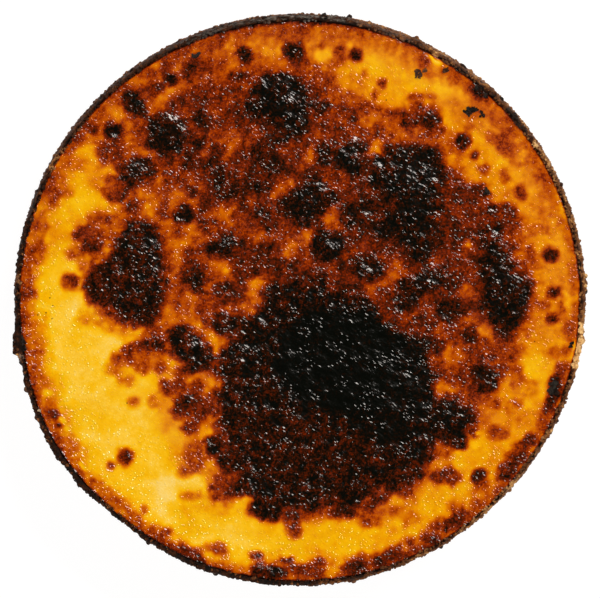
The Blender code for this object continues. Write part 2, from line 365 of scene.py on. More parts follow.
# Roughen the crust outwards and along its rim, swell and chip the rim, and pull it out of round
places = places_of(crust)
radii = np.hypot(places[:, 0], places[:, 1])
heights = places[:, 2].copy()
outward = places * (1, 1, 0) / np.maximum(radii, MM)[:, None]
angles = angles_of(places)
crags = np.array([noise.fractal(Vector(row), 0.8, 2.1, 3) for row in places / CRAG_LENGTH])
toothing = rough(outward * OUTER_RADIUS, TOOTHING_LENGTH)
teeth = rough(places, TOOTH_LENGTH, 2)
pressed = np.array([noise.voronoi(Vector(row))[0][0] for row in places / PRESSED_CRUMB])
outer_share = soft_step(CUP_RADIUS, OUTER_RADIUS, radii) * soft_step(0, FOOT_CHAMFER, heights)
rim_share = soft_step(*SWELL_HEIGHTS, heights)
top_share = soft_step(*LIFT_HEIGHTS, heights)
top_share *= soft_step(CUP_RADIUS - MM, CUP_RADIUS - 0.2 * MM, radii)
moved = rim_swell(angles) * rim_share + CRAG_DEPTH * crags - WALL_SET_IN
moved += PRESSED_RELIEF * (PRESSED_MIDDLE - pressed)
moved += TOOTH_DEPTH * teeth * (0.4 + 0.6 * rim_share)
places += outward * (moved * outer_share)[:, None]
inner_share = top_share * (1 - soft_step(CUP_RADIUS, CUP_RADIUS + 1.2 * MM, radii))
places += outward * (TOOTH_DEPTH * 0.8 * teeth.clip(-0.2, 1) * inner_share)[:, None]
places[:, 2] += (rim_lift(angles) + CRAG_HEIGHT * (toothing + 0.7 * teeth)) * top_share
places[:, :2] *= out_of_round(angles)[:, None]
move_to(crust, places)

bake, ash = crust_bake(places, rough(places, MOTTLE_LENGTH, 3))
# The rim's inner edge is burnt all the way round, apart from the pale broken places
inner_line = 1 - soft_step(CUP_RADIUS + 0.3 * MM, CUP_RADIUS + 1.1 * MM, radii)
bake += (0.95 - bake) * 0.8 * inner_line * soft_step(0.25, 0.45, bake)
keep_number(crust, "bake", bake)
keep_number(crust, "ash", ash * (1 - inner_line))


class Wire:
    """An output of a material's node. Sums with it add Math nodes to the material."""

    def __init__(self, socket):
        self.socket = socket

    def make(self, kind, settings=None, inputs=None, output=0):
        """Adds a node of a kind: its settings first, then what its sockets hold or read."""
        tree = self.socket.id_data
        node = tree.nodes.new(kind)
        for name, value in (settings or {}).items():
            if name == "stops":
                lay_stops(node.color_ramp, value)
            else:
                setattr(node, name, value)
        for name, value in (inputs or {}).items():
            if isinstance(value, Wire):
                tree.links.new(value.socket, node.inputs[name])
            else:
                node.inputs[name].default_value = value
        return Wire(node.outputs[output])

    def math(self, operation, *values):
        return self.make("ShaderNodeMath", {"operation": operation}, dict(enumerate(values)))

    def __add__(self, other):
        return self.math("ADD", self, other)

    def __radd__(self, other):
        return self.math("ADD", other, self)

    def __sub__(self, other):
        return self.math("SUBTRACT", self, other)

    def __rsub__(self, other):
        return self.math("SUBTRACT", other, self)

    def __mul__(self, other):
        return self.math("MULTIPLY", self, other)

    def __rmul__(self, other):
        return self.math("MULTIPLY", other, self)

    def __truediv__(self, other):
        return self.math("DIVIDE", self, other)

    def __pow__(self, other):
        return self.math("POWER", self, other)

    def limited(self):
        """The value kept between 0 and 1."""
        return self.make("ShaderNodeClamp", inputs={"Value": self})

    def between(self, low, high):
        """0 below low, 1 above high and a soft step between them."""
        return self.make(
            "ShaderNodeMapRange",
            {"interpolation_type": "SMOOTHSTEP"},
            {"Value": self, "From Min": low, "From Max": high},
        )

    def lumps(self, length, detail):
        """Noise from 0 to 1 over these coordinates, in lumps of a given length."""
        return self.make(
            "ShaderNodeTexNoise", inputs={"Vector": self, "Scale": 1 / length, "Detail": detail}
        )

    def grains(self, length):
        """Distance from the middle of the nearest grain, grains lying a given length apart."""
        return self.make(
            "ShaderNodeTexVoronoi", {"feature": "F1"}, {"Vector": self, "Scale": 1 / length}
        )

    def cone(self, near, far):
        """1 up to near and 0 from far outwards, with an almost even slope between them."""
        share = self.make(
            "ShaderNodeMapRange", inputs={"Value": self, "From Min": near, "From Max": far}
        )
        return 1 - share ** 1.3

    def ramp(self, *stops):
        """The colour that this value has on a ramp of places and colours."""
        return self.make("ShaderNodeValToRGB", {"stops": stops}, {"Fac": self})

    def tinted(self, base, colour):
        """A base colour that goes over to another as this value goes from 0 to 1."""
        return self.make(
            "ShaderNodeMix",
            {"data_type": "RGBA"},
            {"Factor": self, 6: base, 7: colour},
            output=2,
        )


def lay_stops(color_ramp, stops):
    """Gives a ramp its stops, each a place and a colour."""
    while len(color_ramp.elements) < len(stops):
        color_ramp.elements.new(0.5)
    for element, (place, colour) in zip(color_ramp.elements, stops):
        element.position = place
        element.color = (*colour, 1.0)


def start_finish(name):
    """A new material: it, its shader and a wire of its object coordinates."""
    material = bpy.data.materials.new(name)
    material.use_nodes = True
    shader = material.node_tree.nodes["Principled BSDF"]
    coordinates = material.node_tree.nodes.new("ShaderNodeTexCoord")
    return material, shader, Wire(coordinates.outputs["Object"])


def set_sockets(shader, **values):
    """Sets or links the shader's sockets, named with _ for a space."""
    for name, value in values.items():
        socket = shader.inputs[name.replace("_", " ")]
        if isinstance(value, Wire):
            shader.id_data.links.new(value.socket, socket)
        else:
            socket.default_value = value


def bumped(height, distance):
    """A normal bent by a height of 0 to 1, the height standing for a distance in metres."""
    return height.make("ShaderNodeBump", inputs={"Height": height, "Distance": distance})


# Colours of the crumb from broken and pale to burnt black, and of the grey of ash and painted
# sheen on burnt and on pale
CRUMB_COLOURS = (
    (0.0, (0.86, 0.54, 0.22)),
    (0.18, (0.52, 0.26, 0.085)),
    (0.38, (0.20, 0.073, 0.022)),
    (0.60, (0.062, 0.018, 0.006)),
    (0.80, (0.022, 0.008, 0.0035)),
    (1.0, (0.006, 0.004, 0.003)),
)
ASH_AND_SHEEN_COLOURS = (
    (0.0, (0.24, 0.205, 0.17)),
    (1.0, (0.50, 0.46, 0.38)),
)
GRIT_LENGTH = 0.0009
GRAIN_LENGTH = 0.0014
FLECK_LENGTH = 0.0022
LAYER_LENGTH = 0.0006
LAYER_RADIUS = 0.02
CRUMB_BUMP = 0.0006


def charred_crumb():
    """Baked crumb: cream where it broke, brown, then black; grey ash and painted sheen on the rim.
    """
    material, shader, place = start_finish("charred_crumb")
    bake = place.make("ShaderNodeAttribute", {"attribute_name": "bake"}, output="Fac")
    ash = place.make("ShaderNodeAttribute", {"attribute_name": "ash"}, output="Fac")
    grit = place.lumps(GRIT_LENGTH, 3.0)
    grain = place.grains(GRAIN_LENGTH)
    fleck = place.lumps(FLECK_LENGTH, 2.0)
    east, north, up = (
        place.make("ShaderNodeSeparateXYZ", inputs={"Vector": place}, output=axis)
        for axis in "XYZ"
    )
    reach = (east * east + north * north) ** 0.5 + 0.0001
    # The crumb lies in layers, level on the side and in rings on the rim. A turn round the cake is
    # short in these coordinates, so the noise comes out drawn out along the layers.
    layered = place.make("ShaderNodeCombineXYZ", inputs={
        "X": east * LAYER_RADIUS / reach, "Y": north * LAYER_RADIUS / reach, "Z": reach - up,
    })
    layer = layered.lumps(LAYER_LENGTH, 2.0)
    tone = bake + (grit - 0.5) * 0.45 + (layer - 0.5) * 0.5 + (grain - 0.45) * -0.12
    tone = (tone + (fleck - 0.5) * 0.9).limited()
    # The grey of ash and painted sheen lies in streaks along the layers, and all over the broken
    # places
    broken = 1 - bake.between(0.1, 0.4)
    streak = layer.between(0.44, 0.62)
    streak = streak + (1 - streak) * broken
    # The grey of ash and painted sheen goes over the crumb's colour
    colour = (streak * ash).tinted(tone.ramp(*CRUMB_COLOURS), broken.ramp(*ASH_AND_SHEEN_COLOURS))
    set_sockets(
        shader,
        Base_Color=colour,
        Roughness=(0.78 - grit * 0.3).limited(),
        Specular_IOR_Level=0.08,
        Normal=bumped(grit * 0.5 + grain * 0.3 + layer * 0.4, CRUMB_BUMP),
    )
    return material


crumb_finish = charred_crumb()
crust.data.materials.append(crumb_finish)
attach(crust, "root")
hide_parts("crust")


# ---------------------------------------------------------------------------------------------
# Crumbs
# Coarse biscuit crumbs that stick out of the rim and the side. The ones on the rim burnt black,
# a few broke open and show pale, and the ones lower down are brown.

# The larger crumbs, which the solid has too, and the tones of those that broke open
CRUMB_ANGLES = (
    2, 5, 12, 24, 41, 45, 55, 66, 80, 85, 92, 97, 104, 126, 134, 145,
    165, 198, 204, 213, 222, 238, 253, 266, 281, 300, 318, 335, 352,
)
CRUMB_RADII = (0.0008, 0.0013)
CRUMB_DROP = (0.0012, 0.0045)
CRUMB_SINK = 0.0001
CRUMB_SEED = 11
CRUMB_BAKE = 0.85
CRUMB_ASH = 0.15
PALE_CRUMBS = {5: 0.1, 12: 0.45, 66: 0.4, 198: 0.5, 281: 0.45, 318: 0.3, 352: 0.1}
LUMP_UNEVENNESS = 0.22

# The finer ones; the crest is the highest line of the rim, as a share of the wall's thickness
RIM_CRUMBS = 1900
RIM_CRUMB_RADII = (0.0003, 0.0008)
RIM_CREST = 0.35
SIDE_CRUMBS = 2400
SIDE_CRUMB_RADII = (0.0005, 0.0011)
SIDE_CRUMB_HEIGHTS = (0.0012, 0.0435)


def lump_shape(rounds):
    """The points and triangles of the ball that a crumb is made from."""
    deselect()
    bpy.ops.mesh.primitive_ico_sphere_add(subdivisions=rounds, radius=1.0)
    ball = bpy.context.object
    points = places_of(ball)
    triangles = np.array([tuple(face.vertices) for face in ball.data.polygons])
    bpy.data.objects.remove(ball, do_unlink=True)
    return points, triangles


def joined_lumps(name, lumps):
    """One mesh of many lumps: each is its ball, middle, half sizes, turn, bake, ash and sheen."""
    points, triangles, bakes, ash_and_sheen_values = [], [], [], []
    count = 0
    for (ball, faces), middle, half_sizes, turn, bake, ash in lumps:
        uneven = 1 + LUMP_UNEVENNESS * rough(ball * 1.7 + np.array(middle) * 900, 1.0)
        turned = (ball * uneven[:, None] * half_sizes) @ np.array(turn.to_matrix()).T
        points.append(turned + middle)
        triangles.append(faces + count)
        bakes.append(np.full(len(ball), bake))
        ash_and_sheen_values.append(np.full(len(ball), ash))
        count += len(ball)
    mesh = bpy.data.meshes.new(name)
    mesh.from_pydata(np.vstack(points).tolist(), [], np.vstack(triangles).tolist())
    piece = bpy.data.objects.new(name, mesh)
    bpy.context.scene.collection.objects.link(piece)
    mesh.shade_smooth()
    move_to(piece, places_of(piece))
    keep_number(piece, "bake", np.concatenate(bakes))
    keep_number(piece, "ash", np.concatenate(ash_and_sheen_values))
    return piece


small_lump = lump_shape(1)
large_lump = lump_shape(2)
chance = random.Random(CRUMB_SEED)
crumbs = []
for angle in CRUMB_ANGLES:
    turn = math.radians(angle)
    size = chance.uniform(*CRUMB_RADII)
    drop = chance.uniform(*CRUMB_DROP)
    there = np.array([angle])
    reach = float(OUTER_RADIUS * out_of_round(there)[0] + rim_swell(there)[0]) - CRUMB_SINK
    middle = (reach * math.cos(turn), reach * math.sin(turn), CAKE_HEIGHT - drop)
    half_sizes = (size, size * chance.uniform(0.8, 1.3), size * chance.uniform(0.7, 1.0))
    lean = Euler((chance.uniform(-1, 1), chance.uniform(-1, 1), turn))
    bake = PALE_CRUMBS.get(angle, CRUMB_BAKE)
    crumbs.append((large_lump, middle, half_sizes, lean, bake, CRUMB_ASH))

# Bits of crumb broken pale on the rim and grey at the end of the plate that sticks out in the
# west: middle and radius in millimetres
Chip = namedtuple("Chip", "x y radius bake ash")
CHIPS = (
    Chip(-98.0, -19.6, 0.9, 0.5, 1.0),
    Chip(-96.9, -19.9, 0.6, 0.5, 1.0),
    Chip(-91.3, -38.4, 0.75, 0.2, 0.7),
    Chip(-88.4, -48.5, 0.65, 0.2, 0.7),
    Chip(-77.2, -63.6, 0.65, 0.2, 0.6),
    Chip(-97.6, 6.6, 0.5, 0.3, 0.1),
    Chip(100.2, 5.4, 0.9, 0.12, 0.0),
    Chip(100.3, 4.2, 0.7, 0.1, 0.0),
)
CHIP_DROP = 0.0003
for chip in CHIPS:
    middle = (chip.x * MM, chip.y * MM, CAKE_HEIGHT - CHIP_DROP)
    half_sizes = (chip.radius * MM, chip.radius * MM * 0.8, chip.radius * MM * 0.7)
    lean = Euler((0.3, -0.4, chip.x))
    crumbs.append((large_lump, middle, half_sizes, lean, chip.bake, chip.ash))


def scatter_crumbs(count, radii, draw_spot):
    """Loose crumbs at places that a rule draws; each takes its tone from the crust there."""
    spots = np.array([draw_spot() for _ in range(count)])
    tones, ash_and_sheen_values = crust_bake(spots, np.array([chance.uniform(-1, 1) for _ in range(count)]))
    for spot, tone, grey in zip(spots, tones, ash_and_sheen_values):
        size = chance.uniform(*radii) * chance.uniform(0.6, 1.0)
        half_sizes = [size * chance.uniform(0.7, 1.25) for _ in range(3)]
        lean = Euler([chance.uniform(-3, 3) for _ in range(3)])
        crumbs.append((small_lump, tuple(spot), half_sizes, lean, tone, grey * 0.6))


def at_angle(radius, height):
    """A place on the crust at an angle drawn at random, the rim's swells counted in."""
    angle = chance.uniform(0, 360)
    there = np.array([angle])
    up_the_swell = (height - SWELL_HEIGHTS[0]) / (CAKE_HEIGHT - SWELL_HEIGHTS[0])
    share = min(max(up_the_swell, 0.0), 1.0)
    radius = radius * float(out_of_round(there)[0]) + float(rim_swell(there)[0]) * share
    turn = math.radians(angle)
    lift = float(rim_lift(there)[0]) * share
    return radius * math.cos(turn), radius * math.sin(turn), height + lift


def rim_spot():
    """On the rim, from just over its inner edge to just past its outer shoulder."""
    across = chance.uniform(-0.15, 0.9)
    drop = 0.1 * MM + 0.9 * MM * abs(across - RIM_CREST) ** 3
    return at_angle(CUP_RADIUS + CRUST_WALL * across, CAKE_HEIGHT - drop)


def side_spot():
    """Half sunk in the side, anywhere up to the rim."""
    radius = OUTER_RADIUS - chance.uniform(0.1, 0.5) * MM
    return at_angle(radius, chance.uniform(*SIDE_CRUMB_HEIGHTS))


scatter_crumbs(RIM_CRUMBS, RIM_CRUMB_RADII, rim_spot)
scatter_crumbs(SIDE_CRUMBS, SIDE_CRUMB_RADII, side_spot)
crust_crumbs = joined_lumps("crust_crumbs", crumbs)
crust_crumbs.data.materials.append(crumb_finish)
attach(crust_crumbs, "root")


# ---------------------------------------------------------------------------------------------
# Filling
# Fresh cheese custard, set in the oven in one disc. Its skin is glossy and finely pebbled, dished
# and drawn up to the crust, and it blistered: the blisters scorched rust brown and then black.

FILLING_RADIUS = CUP_RADIUS - FIT_GAP
FILLING_FLOOR = CRUST_BASE + FIT_GAP
EDGE_BELOW_RIM = 0.0009
EDGE_RISE = 0.0018
EDGE_WIDTH = 0.018
CENTRE_SINK = 0.0008
EDGE_LEVEL = CAKE_HEIGHT - EDGE_BELOW_RIM
SKIN_LEVEL = EDGE_LEVEL - EDGE_RISE
WAVE_HEIGHT = 0.0006
WAVE_LENGTH = 0.034
WRINKLE_HEIGHT = 0.00035
WRINKLE_LENGTH = 0.009
SKIN_CELLS = 296
SMOOTH_ANGLE = 50

# Finer relief of the skin, which the solid leaves out; the hollows of its crumples are painted
# # darker and their tops paler, as painted shade
CRUMPLE_LENGTH = 0.0034
CRUMPLE_HEIGHT = 0.00036
CREASE_LENGTH = 0.0075
CREASE_HEIGHT = 0.00015
PEBBLE_LENGTH = 0.0022
PEBBLE_HEIGHT = 0.00012
HOLLOW_SHADE = 0.18

# Blisters of the skin: centre, half sizes and rise in millimetres, turn in degrees
Blister = namedtuple("Blister", "x y half_length half_width turn rise")
BLISTERS = (
    Blister(15, -36, 47, 40, 5, 0.8),
    Blister(24, -31, 20, 16, -20, 0.3),
    Blister(-4, -46, 14, 18, 0, 0.4),
    Blister(-60, 8, 21, 16, 100, 0.6),
    Blister(-39, -17, 10, 7, 110, 0.4),
    Blister(-7, 68, 12, 10, 90, 0.5),
    Blister(38, 35, 20, 13, 95, 0.8),
    Blister(4, 35, 11, 8, 15, 0.7),
    Blister(17, 51, 6, 6, 0, 0.6),
    Blister(71, 2, 15, 11, 80, 0.8),
    Blister(-47, 59, 9, 7, 30, 0.6),
    Blister(-60, 43, 8, 8, 0, 0.6),
    Blister(10, 18, 8, 7, 0, 0.6),
    Blister(23, 10, 7, 6, 40, 0.5),
    Blister(43, 5, 11, 7, 25, 0.6),
    Blister(-27, 19, 5, 4, 10, 0.5),
    Blister(65, -30, 7, 7, 0, 0.6),
    Blister(54, -42, 9, 8, 0, 0.6),
    Blister(43, 63, 9, 6, 10, 0.4),
    Blister(-78, 20, 9, 7, 60, -0.7),
    Blister(-55, -45, 22, 14, -40, -0.8),
    Blister(75, 35, 16, 10, 60, -0.6),
)

# Small blisters and one pit by the rim, which the solid leaves out; what rises stays pale
SMALL_BLISTERS = (
    Blister(-89.6, 11.3, 2.4, 2.8, 0, 0.22),
    Blister(-87.9, -32.4, 3.2, 2.2, -20, 0.22),
    Blister(-83.3, -41.8, 2.4, 1.8, -50, 0.22),
    Blister(-81.4, -44.9, 1.8, 1.6, -50, 0.2),
    Blister(-76.3, -57.6, 3.0, 1.5, -55, 0.15),
    Blister(-4.7, -89, 2.6, 2.2, 10, 0.22),
    Blister(62.7, -46.4, 1.6, 1.4, 0, 0.2),
    Blister(19.8, 86, 2.4, 2.6, 0, -0.6),
    Blister(96.5, -15.7, 1.2, 3.0, -10, 0.3),
)
SMALL_BLISTER_BROWNING = 0.08

# Browning of the skin: 0 is the palest yellow, 0.2 golden, 0.4 orange, 0.6 rust, 0.8 dark red
# brown and 1 black. A mark is an uneven oval of skin: its middle and half sizes in millimetres,
# how brown it is, and its turn in degrees. The oven's heat, in broad soft fields, comes first.
Mark = namedtuple("Mark", "x y half_length half_width browning turn", defaults=(0,))
PLAIN_BROWNING = 0.11
HEAT_FIELDS = (
    Mark(-78, -12, 26, 70, 0.055),
    Mark(-52, -62, 40, 26, 0.066, -40),
    Mark(4, -86, 60, 10, 0.13),
    Mark(-40, -74, 26, 9, 0.05, -32),
    Mark(62, -60, 44, 26, 0.17, 45),
    Mark(84, 0, 22, 75, 0.24),
    Mark(62, 62, 40, 30, 0.22, -45),
    Mark(-70, 52, 40, 22, 0.18, 50),
    Mark(-8, 84, 50, 14, 0.4),
    Mark(-46, 62, 26, 18, 0.45, 45),
    Mark(-6, 48, 42, 34, 0.64),
    Mark(40, 76, 26, 11, 0.18, -25),
    Mark(40, 38, 18, 20, 0.64),
    Mark(-34, 16, 18, 40, 0.4),
    Mark(14, 16, 44, 26, 0.68),
    Mark(56, -4, 22, 36, 0.58),
    Mark(56, 14, 19, 20, 0.7),
    Mark(-34, -36, 9, 34, 0.28),
    Mark(12, -36, 38, 31, 0.86),
)
FIELD_BLUR = 0.012
FIELD_BEND = 0.006

# The scorch marks, by compass point, the largest first; the paler ones are laid first
SCORCH_ROWS = (
    # north-west
    (-47.5, 58.8, 6.5, 7, 0.95), (-76, 35.3, 4, 5, 0.1), (-56.5, 46.3, 5, 3.5, 0.88, 20),
    (-42, 57.3, 4, 4, 0.8), (-75, 50.3, 4, 4, 0.18), (-66, 52.3, 4.5, 3.5, 0.62),
    (-57.5, 68.8, 4.8, 3, 0.97, -50), (-38, 48.3, 4, 3.5, 0.72), (-43, 42.3, 4.5, 3, 0.72),
    (-61, 39.3, 5, 2.5, 0.5), (-37, 55.3, 3.5, 3.5, 0.82), (-61, 50.3, 4, 3, 0.62),
    (-34, 62.8, 3, 4, 0.86), (-41, 70.3, 4, 3, 0.6), (-82, 47, 3, 4, 0.3), (-66, 40.3, 3, 4, 0.6),
    (-36, 79.3, 3.5, 3, 0.6), (-64, 38.3, 3.5, 3, 0.7), (-60, 43.3, 4, 2.5, 0.85),
    (-87, 37.3, 2.5, 4, 0.5), (-43, 41.8, 3, 3, 0.6), (-77, 48.3, 3, 3, 0.3),
    (-62, 47.3, 3, 3, 0.68), (-34, 43.3, 3, 3, 0.72), (-47.5, 48.8, 2.5, 3, 0.56),
    (-64, 65.3, 3, 2.5, 0.36), (-50, 74.8, 3.5, 2, 0.65, 20), (-66, 59.8, 2.6, 2.6, 0.88),
    (-66, 44.3, 2.5, 2.5, 0.1), (-37, 83.3, 3, 2, 0.65),
    (-47, 37.3, 3, 2, 0.5), (-83, 38.3, 3, 2, 0.45), (-52, 52.3, 3, 2, 0.33),
    (-36, 72.3, 3, 2, 0.74), (-47, 80.3, 1.5, 4, 0.6), (-50, 46.3, 2, 3, 0.5),
    (-45, 73.3, 3, 1.8, 0.27), (-37.5, 38.8, 2.2, 2.2, 0.85),
    (-57, 77.3, 3, 1.5, 0.3), (-50, 82.3, 3, 1.5, 0.3), (-45, 77.8, 2.1, 2.1, 0.93),
    (-38.5, 81.3, 2.2, 2, 0.8), (-44, 85.8, 3.5, 1.2, 0.62, 15), (-73, 60.8, 3.2, 1.2, 0.7, -40),
    (-54, 79.8, 3, 1.2, 0.5), (-62, 59.3, 2, 1.3, 0.62), (-51.5, 44.3, 1.2, 1.4, 0.7),
    # north
    (24, 42.3, 6, 8, 0.76), (-8, 68.3, 11, 3.5, 0.97), (-7, 73.8, 8, 4.5, 0.98),
    (31, 42, 5, 7, 0.95), (-2, 63.3, 6, 5.5, 0.96), (-12, 50.3, 5, 6, 0.82),
    (-27, 43.3, 6, 5, 0.78), (-13, 89.3, 7, 4, 0.3), (-22, 38.3, 6, 4, 0.8),
    (-30, 37.3, 4, 4, 0.78), (25, 82.3, 5, 3, 0.13), (29.2, 45.8, 3, 5, 0.9),
    (6, 37.8, 4, 3.5, 0.88), (-13, 64.3, 4, 3, 0.86), (-7, 77.8, 6, 2, 0.85),
    (-3, 72.3, 3, 4, 0.97), (-20, 50.3, 4, 3, 0.76), (-15, 44.3, 4, 3, 0.82),
    (-12.6, 40.8, 3.3, 3.5, 0.8), (12.5, 58.3, 3, 3.5, 0.72), (21, 76.3, 3.4, 3, 0.28),
    (19.5, 53.8, 4, 2.5, 0.92), (8, 86.3, 4, 2.5, 0.12), (-8, 57.3, 4, 2.5, 0.82),
    (8.5, 51.8, 2.2, 4.5, 0.88), (-29, 51.8, 3, 3, 0.78), (0, 95.3, 3, 3, 0.58),
    (15, 50.3, 2.8, 3.2, 0.96), (17, 36.8, 3.4, 2.6, 0.76), (-2, 87.8, 3.5, 2.3, 0.9),
    (-12, 84.3, 4, 2, 0.42), (18, 47.3, 2.8, 2.8, 0.97), (4, 43.3, 2.5, 3, 0.82),
    (10, 37.3, 3, 2.5, 0.86), (-4.5, 40.3, 2.5, 3, 0.38, -50), (24, 63.3, 3, 2.5, 0.33),
    (12, 72.3, 2.5, 3, 0.42), (-19.5, 86.3, 3.2, 2.2, 0.88, -15), (0, 83.8, 3.5, 2, 0.68),
    (-2, 51.3, 2.3, 3, 0.75), (-22, 78.8, 3.5, 1.8, 0.78, 10), (-28.5, 82.3, 2.5, 2.5, 0.58),
    (30, 72.3, 2.5, 2.5, 0.18), (27, 52.8, 2, 3, 0.3), (8, 68.3, 3, 1.8, 0.8),
    (14, 86.8, 1.5, 3.5, 0.52), (-23, 50.8, 1.5, 3.5, 0.42), (19.5, 59.8, 2.5, 2, 0.62),
    (-8.5, 46.8, 2.5, 2, 0.88), (-24.5, 63.8, 2.5, 2, 0.68), (3, 87.3, 2, 2.5, 0.35),
    (-8, 37.3, 2, 2.5, 0.4), (19.8, 86.3, 1.9, 2, 0.82), (14, 92.8, 5, 0.7, 0.45),
    (18.5, 64.8, 1.5, 2, 0.72), (3.5, 51.3, 1.5, 2, 0.35), (-25, 81.3, 1.5, 2, 0.35),
    (28, 61.3, 1.6, 1.5, 0.58), (22.5, 69.3, 1.5, 1.5, 0.6), (26.5, 72.8, 1.2, 1.8, 0.6),
    (26.5, 66.8, 1.8, 1.2, 0.5), (4.5, 76, 1.6, 1.3, 0.72), (8, 73.8, 1.4, 1.4, 0.62),
    (29, 76.3, 1.3, 1.3, 0.6), (7.5, 89.8, 1.4, 1.1, 0.55), (10.5, 77.3, 1.2, 1.2, 0.65),
    (23, 80.1, 1, 1, 0.5), (22, 75.1, 1, 1, 0.5),
    # north-east
    (42, 45.3, 8, 9, 0.98), (41, 36, 7, 6, 0.94), (62, 48.3, 5, 7, 0.24),
    (67, 67.3, 9, 3.5, 0.4, -45), (36, 48.3, 5, 6, 0.93), (42, 64.3, 7.5, 2.8, 0.66, -10),
    (54, 66.3, 4, 5, 0.24), (34, 38.3, 4.5, 4, 0.93), (58.5, 38.6, 6, 2.8, 0.76),
    (40, 55.3, 8, 2, 0.45, -10), (86, 46.3, 3, 5, 0.4, 20), (62, 63.3, 5, 3, 0.3, -30),
    (77, 51.3, 2.5, 5, 0.46, 40), (70, 60.3, 5, 2.5, 0.46, -45), (67, 42.3, 4, 3, 0.24),
    (72, 35.3, 3, 4, 0.28), (34, 61.3, 3, 3, 0.38), (45, 67.3, 4, 2, 0.62),
    (50, 73.3, 3, 2.5, 0.14), (72, 48.3, 3, 2.5, 0.2), (46, 63.8, 3.2, 2.2, 0.88),
    (57.5, 55.8, 2.2, 3, 0.8), (47.5, 59.8, 3, 2, 0.6),
    (71.5, 54.3, 1.8, 2.8, 0.55), (77.5, 38.3, 2, 2.3, 0.72), (38.5, 62.3, 2.8, 1.5, 0.85),
    (54, 49.3, 2, 2, 0.36), (34, 66.3, 3, 1.3, 0.64), (72, 43.8, 1.5, 2.5, 0.4),
    (62.5, 73.3, 2.6, 1.4, 0.9, -35), (47.4, 85, 2.8, 1.2, 0.02, -40), (40.5, 71.6, 2.5, 1.3, 0.55),
    (68, 57.3, 1.8, 1.8, 0.5), (64.5, 46.3, 1.6, 1.6, 0.5), (46, 71.3, 2.5, 1, 0.42),
    (47, 80.3, 1.8, 1.3, 0.42), (77.5, 53.8, 1, 1.5, 0.45), (59.5, 60.8, 1.6, 0.8, 0.5),
    (61.5, 51.3, 1.1, 1.1, 0.6),
    # west
    (-59.5, 5.3, 12, 10, 0.85), (-55.5, 18, 6.5, 10, 0.92), (-55.5, 0.3, 7.5, 8, 0.88),
    (-38.8, -16.7, 9, 5.6, 0.9, -55), (-66, 6.3, 8, 6, 0.83), (-58, -4.7, 9, 4, 0.75),
    (-67, 10.3, 7, 5, 0.86, 30), (-60, 17.3, 5, 6, 0.88, 40), (-70, 3.3, 5, 5, 0.86),
    (-67.6, 27.3, 6, 4, 0.45), (-74.3, 22.8, 4, 5, 0.66), (-69.4, 21.1, 4, 5, 0.45),
    (-38, 12.3, 3, 6, 0.7), (-48, 14.3, 3, 6, 0.55, 30), (-43.2, -30.7, 5, 3, 0.65),
    (-33, -1.7, 2.5, 5, 0.66), (-60, -19.7, 5, 2.5, 0.5), (-92.8, -19.1, 2.5, 5, 0.42),
    (-72.9, -6.2, 5, 2.5, 0.3), (-41.5, 7, 3, 4, 0.64), (-63, -10.7, 6, 2, 0.24, -20),
    (-36.5, 6.7, 4, 3, 0.93), (-52.9, -14.9, 5, 2.3, 0.65), (-72.5, 18.6, 3, 3.5, 0.68),
    (-40.7, 30.1, 3.5, 3, 0.93), (-77.7, 17.6, 4, 2.5, 0.5),
    (-49, -10.7, 5, 2, 0.5), (-57.5, 33.3, 2.6, 3.6, 0.68), (-91.4, 16.9, 2.3, 4, 0.5),
    (-60, 29.3, 3, 3, 0.36), (-33, 27.3, 3, 3, 0.62), (-43.2, -1.7, 3, 3, 0.5),
    (-36.2, -29.7, 3, 3, 0.6), (-41, -25.7, 3, 3, 0.6), (-32.7, 33.3, 3, 3, 0.68),
    (-58.9, -17.4, 4, 2.2, 0.6, 25), (-80.2, 6.7, 3, 2.5, 0.52),
    (-53.3, -18.1, 3, 2.5, 0.55), (-65.2, -23.7, 3, 2.5, 0.3), (-60.6, -27.9, 3, 2.5, 0.35),
    (-54.7, -23.3, 3, 2.3, 0.5), (-75, 12.3, 2.5, 2.5, 0.42), (-68, -3.7, 3, 2, 0.56),
    (-47.3, 31.5, 3, 2, 0.62), (-91, 25.3, 2, 3, 0.5), (-37.8, -24.2, 2.2, 2.3, 0.85),
    (-47, -18.7, 2.5, 2, 0.34), (-32, -20.7, 1.5, 3, 0.55), (-42.1, 23.8, 2, 2, 0.6),
    (-48.5, -23.4, 2, 2, 0.48), (-79.5, 7.4, 1.5, 1.5, 0.65), (-93.8, 2.5, 1.5, 1.5, 0.5),
    # centre
    (14.5, -20.7, 22, 18, 1.12), (-14, -29.7, 14, 22, 0.9), (0, -11.7, 18, 12, 0.95),
    (10, -4.7, 18, 8, 0.92), (1.6, 33.3, 7, 5.5, 0.95), (-22, -8.7, 7, 4, 0.86),
    (-14.5, -18, 5, 5, 0.97), (2.3, 5.3, 6, 4, 0.85), (10.4, 19.3, 5, 4.5, 0.95),
    (-7.2, 2.6, 5.6, 3.8, 0.94), (-17, 30.8, 5, 4, 0.66), (23, 33.3, 5, 4, 0.8),
    (23.8, 11.2, 4.5, 4, 0.9), (26, 31.8, 4.5, 4, 0.82), (30.2, 26.3, 3.5, 5, 0.85),
    (-25.8, 19, 5.8, 3, 0.95, 8), (-15.2, 3.6, 4, 4, 0.38), (26.7, 3.6, 4, 4, 0.42),
    (-11.5, -8.2, 4, 4, 0.96), (12.8, 29.8, 5, 3, 0.38), (-10.6, 30.4, 3.6, 4, 0.72),
    (17, 30.3, 3.5, 4, 0.87), (-31, -5.8, 5, 2.8, 0.64), (-18.7, 12.3, 3.5, 4, 0.72),
    (-25.7, 2.6, 5.5, 2.5, 0.78), (25, 12.3, 4, 3, 0.86), (-27.4, 11.3, 3.5, 3, 0.38),
    (-29.9, -29.7, 3.5, 3, 0.18), (-30.7, -14.2, 2, 5, 0.25), (-10, 13.3, 3, 3, 0.74),
    (-24, 30.3, 3, 3, 0.42), (2.3, 22.8, 3, 3, 0.5), (-15, 22.8, 3, 2.5, 0.56),
